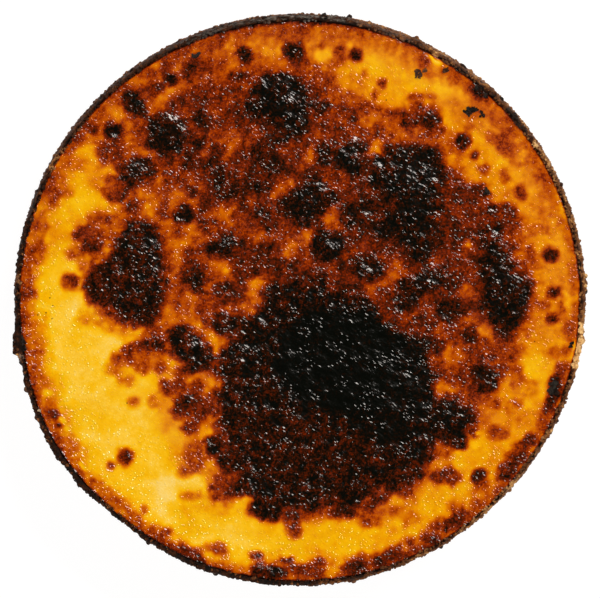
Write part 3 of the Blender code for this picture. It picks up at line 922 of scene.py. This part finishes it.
    (-3, 17.6, 2.5, 3, 0.38), (-18.7, -4.1, 3, 2.5, 0.35), (30, 2.3, 3, 2.5, 0.74),
    (26, -2.7, 3, 2.5, 0.42), (19, 6.3, 3, 2, 0.78), (-31, -21.7, 2, 2.5, 0.3),
    # east
    (37, -25.7, 7, 13, 1), (72.5, 0.4, 7.8, 8.5, 0.95), (81, -27.7, 6, 10, 0.14),
    (40.7, 26.3, 6.5, 9, 0.97), (69, 11.3, 6, 6.5, 0.94), (33, 25.2, 6, 4, 0.95),
    (65, -27.9, 4.8, 4.8, 0.88), (53.6, 22.5, 4.5, 4.5, 0.79), (88, 29, 4.5, 4, 0.34),
    (77, 4.3, 3.8, 4.5, 0.88), (72, -8.7, 4.2, 4, 0.86), (45.6, 7.3, 4.5, 3.6, 0.9),
    (39, 3.6, 4, 4, 0.9), (51.9, -2.4, 4.3, 3.3, 0.88), (66.2, 23.8, 4, 3.5, 0.85),
    (48, 8.3, 4, 3, 0.88), (80, -30.7, 4, 3, 0.32), (41.4, 16.9, 4, 3, 0.93),
    (66.9, 31.5, 4, 3, 0.72), (52.9, -19.1, 4, 3, 0.4), (51.2, -31.4, 4, 3, 0.35),
    (72.8, 30.8, 3, 3.5, 0.7), (43.5, -15.7, 3.5, 3, 0.88), (37.2, -1, 4, 2.5, 0.88),
    (51.9, 11.6, 4.5, 2.2, 0.78), (89.6, -31, 2.6, 3.8, 0.85), (44.2, -7.9, 3.5, 2.8, 0.72),
    (48, 34.3, 3, 3, 0.86), (34, 10.3, 3, 3, 0.42), (58.2, 19.3, 3, 3, 0.36),
    (58.9, 3.6, 3, 3, 0.38), (71, -30.7, 2.5, 3.5, 0.22), (65.5, -19.1, 3.5, 2.5, 0.62),
    (75, -22.7, 3.2, 2.4, 0.55), (76, -26.7, 2.5, 3, 0.45), (48, -21.7, 2.5, 3, 0.58),
    (86, 3.3, 3, 2.5, 0.22), (92.4, -24.4, 2.5, 3, 0.52), (66.9, 18.6, 3.5, 2, 0.85),
    (80.9, 15.1, 2, 3.5, 0.55), (77, -11.7, 2.5, 2.5, 0.38), (65.2, -10.4, 2.5, 2.5, 0.32),
    (92, -2.7, 1.5, 4, 0.5), (91, -17.7, 3, 2, 0.46), (87.9, 16.5, 2.3, 2.3, 0.82),
    (60, -12.5, 2.6, 2, 0.84), (58, 17.3, 2.5, 2, 0.64), (60, -6.7, 2.5, 2, 0.45),
    (72.8, -12.7, 2.5, 2, 0.75), (48.7, -15.7, 2.5, 2, 0.75), (84.4, 25.3, 3, 1.5, 0.45),
    (69.4, -22.7, 2, 2, 0.3), (84.5, 11.3, 2.5, 1.5, 0.45), (94.5, -10.4, 1.5, 2.5, 0.5),
    (89.6, 2.9, 2, 1.8, 0.78), (88.2, -6.2, 1.8, 1.5, 0.65), (86, -1.7, 2, 1.2, 0.5),
    # south-west
    (-42, -66, 8, 5, 0), (-38, -66.7, 5, 4, 0.03), (-39, -36.7, 4, 5, 0.74),
    (-39.4, -88.4, 6, 2, 0.74, -25), (-67.6, -67.3, 7, 1.5, 0.46, -40),
    (-37.2, -53.2, 2.8, 3.4, 0.5), (-35, -38.7, 2.4, 3.6, 0.76), (-61.3, -54.5, 2.7, 3, 0.68),
    (-80, -51.7, 2, 4, 0.34), (-58.9, -75, 5, 1.5, 0.46, -38), (-38.3, -44.6, 2.7, 2.6, 0.6),
    (-48.4, -81.3, 3.5, 2, 0.46), (-33.4, -47.7, 2, 3.5, 0.22), (-36, -56.7, 2.5, 2.5, 0.58),
    (-42, -39, 3, 2, 0.65), (-38, -68.7, 4, 1.5, 0.26), (-40.4, -60, 2.5, 1.8, 0.45),
    (-87.4, -38.3, 1.5, 3, 0.42), (-57.8, -35.5, 1.8, 1.8, 0.42), (-51, -35.7, 1.8, 1.8, 0.35),
    (-66.2, -57.6, 1.3, 1.5, 0.42), (-54.3, -73.3, 1.3, 1.3, 0.5), (-85.8, -40.1, 1.5, 1, 0.7, -60),
    (-84.4, -43.6, 1, 1, 0.8),
    # south
    (6, -55.4, 30, 17.6, 0.88), (30, -33.7, 16, 16, 1.04), (-3, -66.8, 9.5, 5.4, 0.88),
    (-13, -65.2, 7, 5, 0.9, -30), (-10, -34, 5, 7, 0.94), (-11, -72.8, 6, 4.4, 0.9, -15),
    (-27, -65.7, 4, 5, 0.62), (6, -41, 6, 3, 0.94), (-18, -72.7, 4, 4, 0.15),
    (4, -94.7, 6, 2.5, 0.66), (-10.7, -94.9, 6, 2.3, 0.88), (31, -90.4, 5.4, 2.3, 0.78, 20),
    (18, -68, 4, 3, 0.95), (25, -76.7, 4, 3, 0.5), (-20, -71.2, 3, 4, 0.15),
    (-12.8, -65.7, 3, 3.5, 0.97), (-28, -86.5, 4, 2.5, 0.12, -20), (3, -74.7, 5, 2, 0.45),
    (-4, -76, 4, 2.5, 0.7), (27, -70.7, 5, 2, 0.74, 30), (-30, -36, 2.5, 4, 0.62),
    (30.2, -74, 5, 2, 0.42), (19.7, -94, 4, 2.5, 0.78), (-25.5, -56.2, 3, 3.2, 0.86),
    (15, -74.7, 5, 1.8, 0.72), (-26.5, -48.3, 3, 3, 0.78), (-30.2, -51.3, 3, 3, 0.9),
    (10.3, -94.2, 3, 3, 0.3), (-21, -65.7, 3, 3, 0.86), (-29.2, -87.3, 4, 2, 0.55),
    (-29.9, -38.3, 2.5, 3, 0.2), (-1.9, -80.3, 2.5, 3, 0.68), (-30, -59.7, 3.5, 1.5, 0.25, -45),
    (-8, -76, 2, 2, 0.7), (21.5, -90, 2.5, 1.5, 0.5), (-14.9, -89.4, 2, 1.3, 0.7),
    (-5, -91.1, 2.5, 1, 0.7), (6.8, -92, 2, 1.1, 0.7),
    # south-east
    (38, -46.7, 9, 10, 0.93), (51.9, -41.8, 8, 7.5, 0.92), (36, -60.7, 6, 3, 0.85, 20),
    (51.5, -61.8, 5.8, 2.4, 0.66), (77, -53.2, 4.5, 2.8, 0.7, 45), (44, -53.7, 3.2, 3.4, 0.86),
    (73.8, -59.2, 4.5, 2.4, 0.78, 45), (36, -64.7, 4, 2.5, 0.74, 35),
    (54.7, -76.7, 4, 2.5, 0.75, 20), (46.6, -83.7, 4, 2.5, 0.72), (40, -77, 4, 2.4, 0.36, 20),
    (70, -41.7, 3, 3, 0.2), (64, -66, 4, 2, 0.36, 40), (86, -42, 2, 4, 0.46, -15),
    (56, -49.7, 3, 2.5, 0.86), (60, -39.7, 2.5, 3, 0.7), (49.4, -79.6, 3.5, 2, 0.65),
    (69.4, -46.4, 3, 2, 0.55), (66.2, -35.9, 4, 1.5, 0.5), (55.4, -72.2, 3, 2, 0.4),
    (63.2, -61.7, 2.4, 2.4, 0.85), (61, -45.7, 2, 2.5, 0.6), (36.5, -89.7, 2.5, 2, 0.6),
    (88, -36.6, 1.6, 2.6, 0.75), (81.3, -48.7, 2, 2, 0.85), (42.5, -87.3, 2.5, 1.6, 0.66),
    (38.3, -84.8, 2, 2, 0.5), (62.7, -70.8, 2.5, 1.5, 0.55), (76.7, -35.9, 1.5, 1.5, 0.5),
)
SCORCHES = sorted((Mark(*row) for row in SCORCH_ROWS), key=lambda mark: mark.browning)

# How soft a mark's edge is, how far it is bent and ragged, and the size from which it is fully so
MARK_BLUR = 0.0012
MARK_BLUR_LIMIT = 0.0032
MARK_BEND = 0.001
MARK_RAGGED = 0.0016
FULL_MARK_SIZE = 0.005

# Browning of the skin's slope up to the crust, by angle in degrees; reach is its width in
# # millimetres. In the north and north-east, where the slope faces away from the light, it is
# partly
# # painted shade.
EdgeTone = namedtuple("EdgeTone", "angle half_width browning reach")
EDGE_TONES = (
    EdgeTone(0, 40, 0.4, 3.5),
    # These two are partly painted shade, on the slope that faces away from the light
    EdgeTone(50, 40, 0.5, 8.0),
    EdgeTone(95, 40, 0.5, 6.0),
    EdgeTone(138, 35, 0.54, 6.0),
    EdgeTone(190, 44, 0.32, 10.0),
    EdgeTone(180, 40, 0.44, 6.0),
    EdgeTone(192, 34, 0.56, 2.4),
    EdgeTone(230, 40, 0.28, 6.0),
    EdgeTone(218, 30, 0.5, 3.0),
    EdgeTone(248, 25, 0.5, 3.0),
    EdgeTone(274, 26, 0.28, 9.0),
    EdgeTone(274, 24, 0.48, 5.0),
    EdgeTone(312, 40, 0.46, 4.5),
)

# The burnt line where the skin meets the crust: its width, and how much wider it is in places, in
# millimetres
LINE_BROWNING = 0.9
LINE_WIDTH = 0.3
WiderLine = namedtuple("WiderLine", "angle half_width wider")
WIDER_LINES = (
    WiderLine(92, 40, 0.9),
    WiderLine(40, 50, 0.4),
)

# Unevenness of the browning: the length of its lumps, its octaves, a shift that keeps it apart
# from the rest, and its strength everywhere, where half brown, and as the browning grows
Mottle = namedtuple("Mottle", "length octaves shift plain half_brown browned")
MOTTLES = (
    Mottle(0.009, 2, 17.0, 0.042, 0.10, 0.0),
    Mottle(0.0042, 3, 11.0, 0.008, 0.12, 0.06),
    Mottle(0.0019, 2, 5.0, 0.010, 0.09, 0.04),
)
BEND_LENGTH = 0.011
RAGGED_LENGTH = 0.0042


def along_and_across(oval, x, y):
    """How far along and across an oval each place lies, in its half length and half width."""
    turn = math.radians(oval.turn)
    east = x - oval.x * MM
    north = y - oval.y * MM
    along = (east * math.cos(turn) + north * math.sin(turn)) / (oval.half_length * MM)
    across = (north * math.cos(turn) - east * math.sin(turn)) / (oval.half_width * MM)
    return along, across


def blister_height(blister, x, y, ragged):
    """How far a blister lifts the skin at each place."""
    distance = (np.hypot(*along_and_across(blister, x, y)) + ragged).clip(0, 1)
    return blister.rise * MM * (1 - distance * distance) ** 1.5


def level_places(x, y):
    """Rows of x, y and 0."""
    return np.stack([x, y, np.zeros(len(x))], axis=1)


def skin_height(x, y):
    """The height of the skin at each place, with the waves and blisters that the solid has."""
    flat = level_places(x, y)
    radius = np.hypot(x, y) / out_of_round(angles_of(flat))
    edge = soft_step(FILLING_RADIUS - EDGE_WIDTH, FILLING_RADIUS, radius)
    ragged = 0.18 * rough(flat, WRINKLE_LENGTH)
    height = SKIN_LEVEL + EDGE_RISE * edge ** 1.5
    height -= CENTRE_SINK * soft_step(0, 1, 1 - radius / FILLING_RADIUS)
    loose = 1 - 0.75 * edge
    height += WAVE_HEIGHT * rough(flat, WAVE_LENGTH) * loose
    height += WRINKLE_HEIGHT * rough(flat, WRINKLE_LENGTH, 2) * loose
    height += sum(blister_height(blister, x, y, ragged) for blister in BLISTERS) * loose
    return height


def square_to_disc(a, b):
    """Takes places in the square of half side 1 to the unit disc, keeping areas alike."""
    wide = np.abs(a) > np.abs(b)
    radius = np.where(wide, a, b)
    safe = np.where(radius == 0, 1, radius)
    turn = np.where(wide, math.pi / 4 * b / safe, math.pi / 2 - math.pi / 4 * a / safe)
    return radius * np.cos(turn), radius * np.sin(turn)


def outside(mark, x, y):
    """How far each place lies outside a mark's oval, in metres, negative inside it."""
    along, across = along_and_across(mark, x, y)
    depth = np.hypot(along, across) + 1e-6
    slope = np.hypot(along / (mark.half_length * MM), across / (mark.half_width * MM)) + 1e-3
    return (depth - 1) * depth / slope


def browning_at(flat):
    """How brown the skin is at each place, given as rows of x, y and 0."""
    x = flat[:, 0]
    y = flat[:, 1]
    bend = rough(flat, BEND_LENGTH, 3, 7.0)
    ragged = rough(flat, RAGGED_LENGTH, 2, 3.0)
    browning = np.full(len(flat), PLAIN_BROWNING)
    for field in HEAT_FIELDS:
        beyond = outside(field, x, y) + FIELD_BEND * bend
        share = 1 - soft_step(-FIELD_BLUR * 0.5, FIELD_BLUR, beyond)
        browning += (field.browning - browning) * share

    angles = angles_of(flat)
    from_edge = FILLING_RADIUS - np.hypot(x, y) / out_of_round(angles)
    for tone in EDGE_TONES:
        reach = tone.reach * MM * (1 + 0.5 * bend)
        share = 1 - soft_step(reach * 0.25, reach * 1.3, from_edge + 0.0012 * ragged)
        share *= nearness(angles, tone.angle, tone.half_width)
        browning += (tone.browning - browning) * share

    for mark in SCORCHES:
        size = math.sqrt(mark.half_length * mark.half_width) * MM
        blur = min(MARK_BLUR + 0.3 * size, MARK_BLUR_LIMIT)
        uneven = min(size / FULL_MARK_SIZE, 1.0)
        beyond = outside(mark, x, y) + uneven * (MARK_RAGGED * ragged + MARK_BEND * bend)
        share = 1 - soft_step(-0.7 * blur, blur, beyond)
        browning += (mark.browning - browning) * share

    line = LINE_WIDTH * MM
    for part in WIDER_LINES:
        line += part.wider * MM * nearness(angles, part.angle, part.half_width)
    burnt_line = 1 - soft_step(0.0, line, from_edge + 0.0003 * ragged)
    browning += (LINE_BROWNING - browning) * burnt_line * 0.8

    half_brown = (4 * browning * (1 - browning.clip(0, 1))) ** 2.2
    for mottle in MOTTLES:
        strength = mottle.plain + mottle.half_brown * half_brown + mottle.browned * browning
        browning += rough(flat, mottle.length, mottle.octaves, mottle.shift) * strength
    return browning.clip(0, 1.2)


# The skin is a grid drawn into a disc, lifted, and then closed downwards with walls and a floor
deselect()
bpy.ops.mesh.primitive_grid_add(x_subdivisions=SKIN_CELLS, y_subdivisions=SKIN_CELLS, size=2)
filling = bpy.context.object
filling.name = filling.data.name = "custard_filling"
places = places_of(filling)
x, y = square_to_disc(places[:, 0], places[:, 1])
flat = level_places(x, y)
flat *= FILLING_RADIUS * out_of_round(angles_of(flat))[:, None]
x = flat[:, 0]
y = flat[:, 1]
browning = browning_at(flat)
scorched = soft_step(0.45, 0.9, browning)
height = skin_height(x, y)
crumple = rough(flat, CRUMPLE_LENGTH, 2, 21.0)
crease = 1 - np.abs(rough(flat, CREASE_LENGTH, 2, 33.0)) * 2
lumpy = (0.08 + 0.92 * scorched) * (1 - 0.6 * soft_step(0.93, 1.03, browning))
height += CRUMPLE_HEIGHT * crumple * lumpy
# Painted shade: the crumples' hollows are darker, their tops paler
browning -= HOLLOW_SHADE * crumple * lumpy
height += CREASE_HEIGHT * crease * scorched
height += PEBBLE_HEIGHT * rough(flat, PEBBLE_LENGTH, 1, 41.0) * (0.2 + 0.8 * scorched)
for blister in SMALL_BLISTERS:
    rise = blister_height(blister, x, y, 0.25 * crumple)
    height += rise
    if blister.rise > 0:
        raised = soft_step(0.1, 0.9, rise / (blister.rise * MM))
        browning += (SMALL_BLISTER_BROWNING - browning) * 0.8 * raised
move_to(filling, np.stack([x, y, height], axis=1))
keep_number(filling, "browning", browning)

bpy.ops.object.mode_set(mode="EDIT")
bpy.ops.mesh.select_all(action="SELECT")
bpy.ops.mesh.region_to_loop()
bpy.ops.mesh.extrude_region_move()
bpy.ops.transform.resize(value=(1, 1, 0), center_override=(0, 0, FILLING_FLOOR + CUP_CHAMFER))
bpy.ops.mesh.extrude_region_move(TRANSFORM_OT_translate={"value": (0, 0, -CUP_CHAMFER)})
foot_share = 1 - CUP_CHAMFER / FILLING_RADIUS
bpy.ops.transform.resize(value=(foot_share, foot_share, 1), center_override=(0, 0, 0))
bpy.ops.mesh.edge_face_add()
bpy.ops.mesh.select_all(action="SELECT")
bpy.ops.mesh.normals_make_consistent(inside=False)
bpy.ops.object.mode_set(mode="OBJECT")
bpy.ops.object.shade_smooth_by_angle(angle=math.radians(SMOOTH_ANGLE))

# Colours of the skin from the palest yellow to black
SKIN_COLOURS = (
    (0.0, (0.98, 0.68, 0.17)),
    (0.035, (0.98, 0.60, 0.050)),
    (0.07, (0.965, 0.53, 0.008)),
    (0.11, (0.94, 0.465, 0.0012)),
    (0.22, (0.83, 0.280, 0.0004)),
    (0.34, (0.63, 0.132, 0.0003)),
    (0.45, (0.43, 0.058, 0.0003)),
    (0.57, (0.235, 0.020, 0.0003)),
    (0.68, (0.12, 0.0105, 0.0003)),
    (0.80, (0.045, 0.0066, 0.0008)),
    (0.90, (0.0145, 0.0042, 0.001)),
    (1.0, (0.002, 0.0025, 0.0015)),
)
GRANULE_LENGTH = 0.0010
SPECKLE_LENGTH = 0.0005
PIMPLE_LENGTH = 0.0012
CLUMP_LENGTH = 0.006
GLINT_LENGTH = 0.0011
GLINT_ANGLE = -35
GLINT_STRETCH = 1.8
FINE_WRINKLE_LENGTH = 0.0013
SKIN_BUMP = 0.0006


def baked_skin():
    """Glossy custard skin, finely pebbled, with the browning that its points keep."""
    material, shader, place = start_finish("baked_custard")
    browning = place.make("ShaderNodeAttribute", {"attribute_name": "browning"}, output="Fac")
    rusty = browning.between(0.3, 0.65)
    char = browning.between(0.9, 1.0)
    golden = browning.between(0.06, 0.28)
    gold = golden - rusty
    # The tone is made uneven by granules and a finer speckle; each pimple's top is painted paler,
    # # a painted highlight that stands for its glint and evens out its shaded side
    granule = place.lumps(GRANULE_LENGTH, 2.0).between(0.32, 0.68)
    speckle = place.lumps(SPECKLE_LENGTH, 1.0)
    pimple = place.grains(PIMPLE_LENGTH).cone(0.04, 0.34)
    tone = (granule - 0.5) * (0.015 + rusty * 0.13 + browning ** 3 * 0.08)
    tone = tone + (speckle - 0.5) * (0.04 + rusty * 0.24)
    # Painted highlight: each pimple's top is paler
    tone = (browning + tone - pimple * (1 + gold - rusty) * 0.03).limited()
    # The relief is pimples, short slanting bumps that glint in clumps, and fine wrinkles
    clump = place.lumps(CLUMP_LENGTH, 1.0).between(0.42, 0.62)
    slanted = place.make(
        "ShaderNodeMapping",
        {"vector_type": "TEXTURE"},
        {
            "Vector": place,
            "Rotation": (0, 0, math.radians(GLINT_ANGLE)),
            "Scale": (GLINT_STRETCH, 1, 1),
        },
    )
    dash = slanted.grains(GLINT_LENGTH).cone(0.03, 0.40)
    wrinkle = slanted.lumps(FINE_WRINKLE_LENGTH, 1.0)
    relief = pimple * (0.12 + clump * 0.06 + gold * 0.03) * (1 - char * 0.7)
    glint = 0.08 - char * 0.04 + clump * (0.12 + char * 0.06) + (rusty - char) * 0.03
    relief = relief + dash * golden * glint
    relief = relief + wrinkle * (0.10 + browning * 0.22)
    set_sockets(
        shader,
        Base_Color=tone.ramp(*SKIN_COLOURS),
        Roughness=(0.11 + rusty * 0.04 + char * 0.04 + (granule - 0.5) * 0.03).limited(),
        Specular_IOR_Level=0.5,
        Normal=bumped(relief, SKIN_BUMP),
    )
    return material


skin_finish = baked_skin()
filling.data.materials.append(skin_finish)
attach(filling, "root")
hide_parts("filling")


# ---------------------------------------------------------------------------------------------
# Char flakes
# Burnt skin and rim crumb that fell on the cake: black or brown flakes, each clotted from small
# bits and most of them by the rim, and black specks.

# Each flake's middle and half sizes in millimetres, and its turn in degrees
Flake = namedtuple("Flake", "x y half_length half_width turn bake")
FLAKES = (
    Flake(59.5, 66.5, 1.9, 1.4, -40, 1.0),
    Flake(61.5, 67.2, 1.6, 0.8, -20, 1.0),
    Flake(63.8, 65.5, 1.3, 1.0, -60, 1.0),
    Flake(41.8, 79.8, 1.2, 1.9, 0, 0.66),
    Flake(44.0, 80.8, 0.9, 0.8, 30, 0.55),
    Flake(51.3, 81.2, 1.2, 1.0, 10, 0.8),
    Flake(63.2, 74.3, 2.2, 1.1, -30, 1.0),
    Flake(65.6, 72.5, 1.5, 0.9, -50, 0.95),
    Flake(65.8, 39, 1.0, 1.6, 0, 1.0),
    Flake(-36.3, 86.2, 1.8, 0.9, 15, 1.0),
    Flake(89.3, -30.5, 2.1, 2.8, -20, 0.97),
    Flake(95.4, -15.3, 0.8, 1.3, -10, 0.97),
    Flake(-97.5, -14.6, 1.2, 3.6, 9, 1.0),
)
FLAKE_BITS = 14
FLAKE_LIFT = 0.00025
BIT_SPREAD = 0.75
BIT_SIZES = (0.25, 0.5)
BIT_HALF_HEIGHT = 0.0003
BIT_TONES = (-0.12, 0.05)
BIT_ASH = 0.1

# Middles of the specks in millimetres
SPECKS = (
    (-87.5, 1.1), (-86.5, -1.7), (-88.9, -4.1), (-91.7, -4.8), (-86.8, -6.2), (-72.2, 27.7),
    (82.6, -14.2), (20.5, 93.6), (66.5, -19.2), (94.6, -12.1), (-60.5, -35.9), (30.5, 70.5),
)
SPECK_RADIUS = 0.00026
SPECK_BAKE = 0.95


def on_skin(x, y, lift):
    """The place a little over the skin at an x and a y in millimetres."""
    x = np.array([x * MM])
    y = np.array([y * MM])
    return Vector((x[0], y[0], skin_height(x, y)[0] + lift))


flakes = []
for flake in FLAKES:
    middle = on_skin(flake.x, flake.y, FLAKE_LIFT)
    turn = math.radians(flake.turn)
    for _ in range(FLAKE_BITS):
        along = chance.uniform(-BIT_SPREAD, BIT_SPREAD) * flake.half_length * MM
        aside = chance.uniform(-BIT_SPREAD, BIT_SPREAD) * flake.half_width * MM
        spot = Vector((along, aside, chance.uniform(-0.2, 0.3) * MM))
        spot.rotate(Euler((0, 0, turn)))
        size = chance.uniform(*BIT_SIZES)
        half_sizes = (
            size * flake.half_length * MM, size * flake.half_width * MM, BIT_HALF_HEIGHT
        )
        lean = Euler((chance.uniform(-0.5, 0.5), chance.uniform(-0.5, 0.5), chance.uniform(-3, 3)))
        bake = flake.bake + chance.uniform(*BIT_TONES)
        flakes.append((large_lump, middle + spot, half_sizes, lean, bake, BIT_ASH))
for speck in SPECKS:
    middle = on_skin(*speck, SPECK_RADIUS / 2)
    half_sizes = (SPECK_RADIUS, SPECK_RADIUS * 0.8, SPECK_RADIUS * 0.6)
    flakes.append((small_lump, middle, half_sizes, Euler((0, 0, speck[0])), SPECK_BAKE, 0.0))
char_flakes = joined_lumps("char_flakes", flakes)
char_flakes.data.materials.append(crumb_finish)
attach(char_flakes, "root")


# ---------------------------------------------------------------------------------------------
# Floor
# A plain white table under the cake. It gives off most of its light itself, so that it is evenly
# white and shows hardly any shadow.

FLOOR_SIZE = 8.0
FLOOR_GREY = 0.2
FLOOR_GLOW = 0.895

deselect()
bpy.ops.mesh.primitive_plane_add(size=FLOOR_SIZE)
floor = bpy.context.object
floor.name = "floor"
floor_finish, floor_shader, _ = start_finish("white_table")
set_sockets(
    floor_shader,
    Base_Color=(FLOOR_GREY, FLOOR_GREY, FLOOR_GREY, 1),
    Roughness=0.9,
    Specular_IOR_Level=0.0,
    Emission_Color=(1, 1, 1, 1),
    Emission_Strength=FLOOR_GLOW,
)
floor.data.materials.append(floor_finish)


# ---------------------------------------------------------------------------------------------
# Light
# One long soft box high in the north-east gives the skin its short slanting glints, and a second,
# which the gloss doesn't mirror, fills the shadows from the other side. The sky is bright round
# the horizon and dark overhead, where the skin mirrors it.

LIGHT_DISTANCE = 1.6
KEY_ANGLE = 55
KEY_HEIGHT = 57
KEY_SIZE = (0.9, 0.27)
KEY_POWER = 16.3
KEY_COLOUR = (1.0, 0.93, 0.86)
FILL_ANGLE = 235
FILL_HEIGHT = 60
FILL_SIZE = (1.2, 1.2)
FILL_POWER = 11.8
FILL_COLOUR = (1.0, 0.98, 0.96)
CAKE_TOP = Vector((0, 0, CAKE_HEIGHT))


def direction(angle, height):
    """The way out from the cake at an angle round it and a height in degrees."""
    turn = math.radians(angle)
    up = math.radians(height)
    return Vector((math.cos(turn) * math.cos(up), math.sin(turn) * math.cos(up), math.sin(up)))


def soft_box(name, angle, height, size, power, colour):
    """A rectangular light that faces the cake, its long side level."""
    light = bpy.data.lights.new(name, "AREA")
    light.shape = "RECTANGLE"
    light.size, light.size_y = size
    light.energy = power
    light.color = colour
    lamp = bpy.data.objects.new(name, light)
    away = direction(angle, height)
    lamp.location = CAKE_TOP + away * LIGHT_DISTANCE
    lamp.rotation_euler = away.to_track_quat("Z", "Y").to_euler()
    bpy.context.scene.collection.objects.link(lamp)
    return lamp


soft_box("key_light", KEY_ANGLE, KEY_HEIGHT, KEY_SIZE, KEY_POWER, KEY_COLOUR)
fill_light = soft_box("fill_light", FILL_ANGLE, FILL_HEIGHT, FILL_SIZE, FILL_POWER, FILL_COLOUR)
fill_light.visible_glossy = False

sky = bpy.data.worlds.new("sky")
sky.use_nodes = True
backdrop = sky.node_tree.nodes["Background"]
sky_place = Wire(sky.node_tree.nodes.new("ShaderNodeTexCoord").outputs["Generated"])
upness = sky_place.make("ShaderNodeSeparateXYZ", inputs={"Vector": sky_place}, output="Z")
brightness = upness.ramp(
    (0.0, (1.0, 0.97, 0.92)),
    (0.34, (0.95, 0.92, 0.87)),
    (0.52, (0.05, 0.05, 0.05)),
    (0.8, (0.003, 0.003, 0.003)),
)
sky.node_tree.links.new(brightness.socket, backdrop.inputs["Color"])
backdrop.inputs["Strength"].default_value = 1.0
bpy.context.scene.world = sky


# ---------------------------------------------------------------------------------------------
# Camera
# Straight above with a long lens, leaning a little to the north, so that some of the side shows
# there and the cake fills the frame as in the reference view.

CAMERA_DISTANCE = 4.0
CAMERA_LEAN = 2.6
CAMERA_LEAN_ANGLE = 85
FRAME_WIDTH = 0.2104
SENSOR_WIDTH = 36.0
AIM = Vector((0.00025, 0.00082, CAKE_HEIGHT))

camera_data = bpy.data.cameras.new("camera")
camera_data.sensor_width = SENSOR_WIDTH
camera_data.lens = SENSOR_WIDTH * CAMERA_DISTANCE / FRAME_WIDTH
camera_data.clip_end = 100
camera = bpy.data.objects.new("camera", camera_data)
look_back = direction(CAMERA_LEAN_ANGLE, 90 - CAMERA_LEAN)
image_right = Vector((0, 1, 0)).cross(look_back).normalized()
image_up = look_back.cross(image_right)
axes = Matrix((image_right, image_up, look_back)).transposed()
camera.matrix_world = Matrix.Translation(AIM + look_back * CAMERA_DISTANCE) @ axes.to_4x4()
bpy.context.scene.collection.objects.link(camera)
bpy.context.scene.camera = camera
bpy.context.scene.view_settings.view_transform = "Standard"
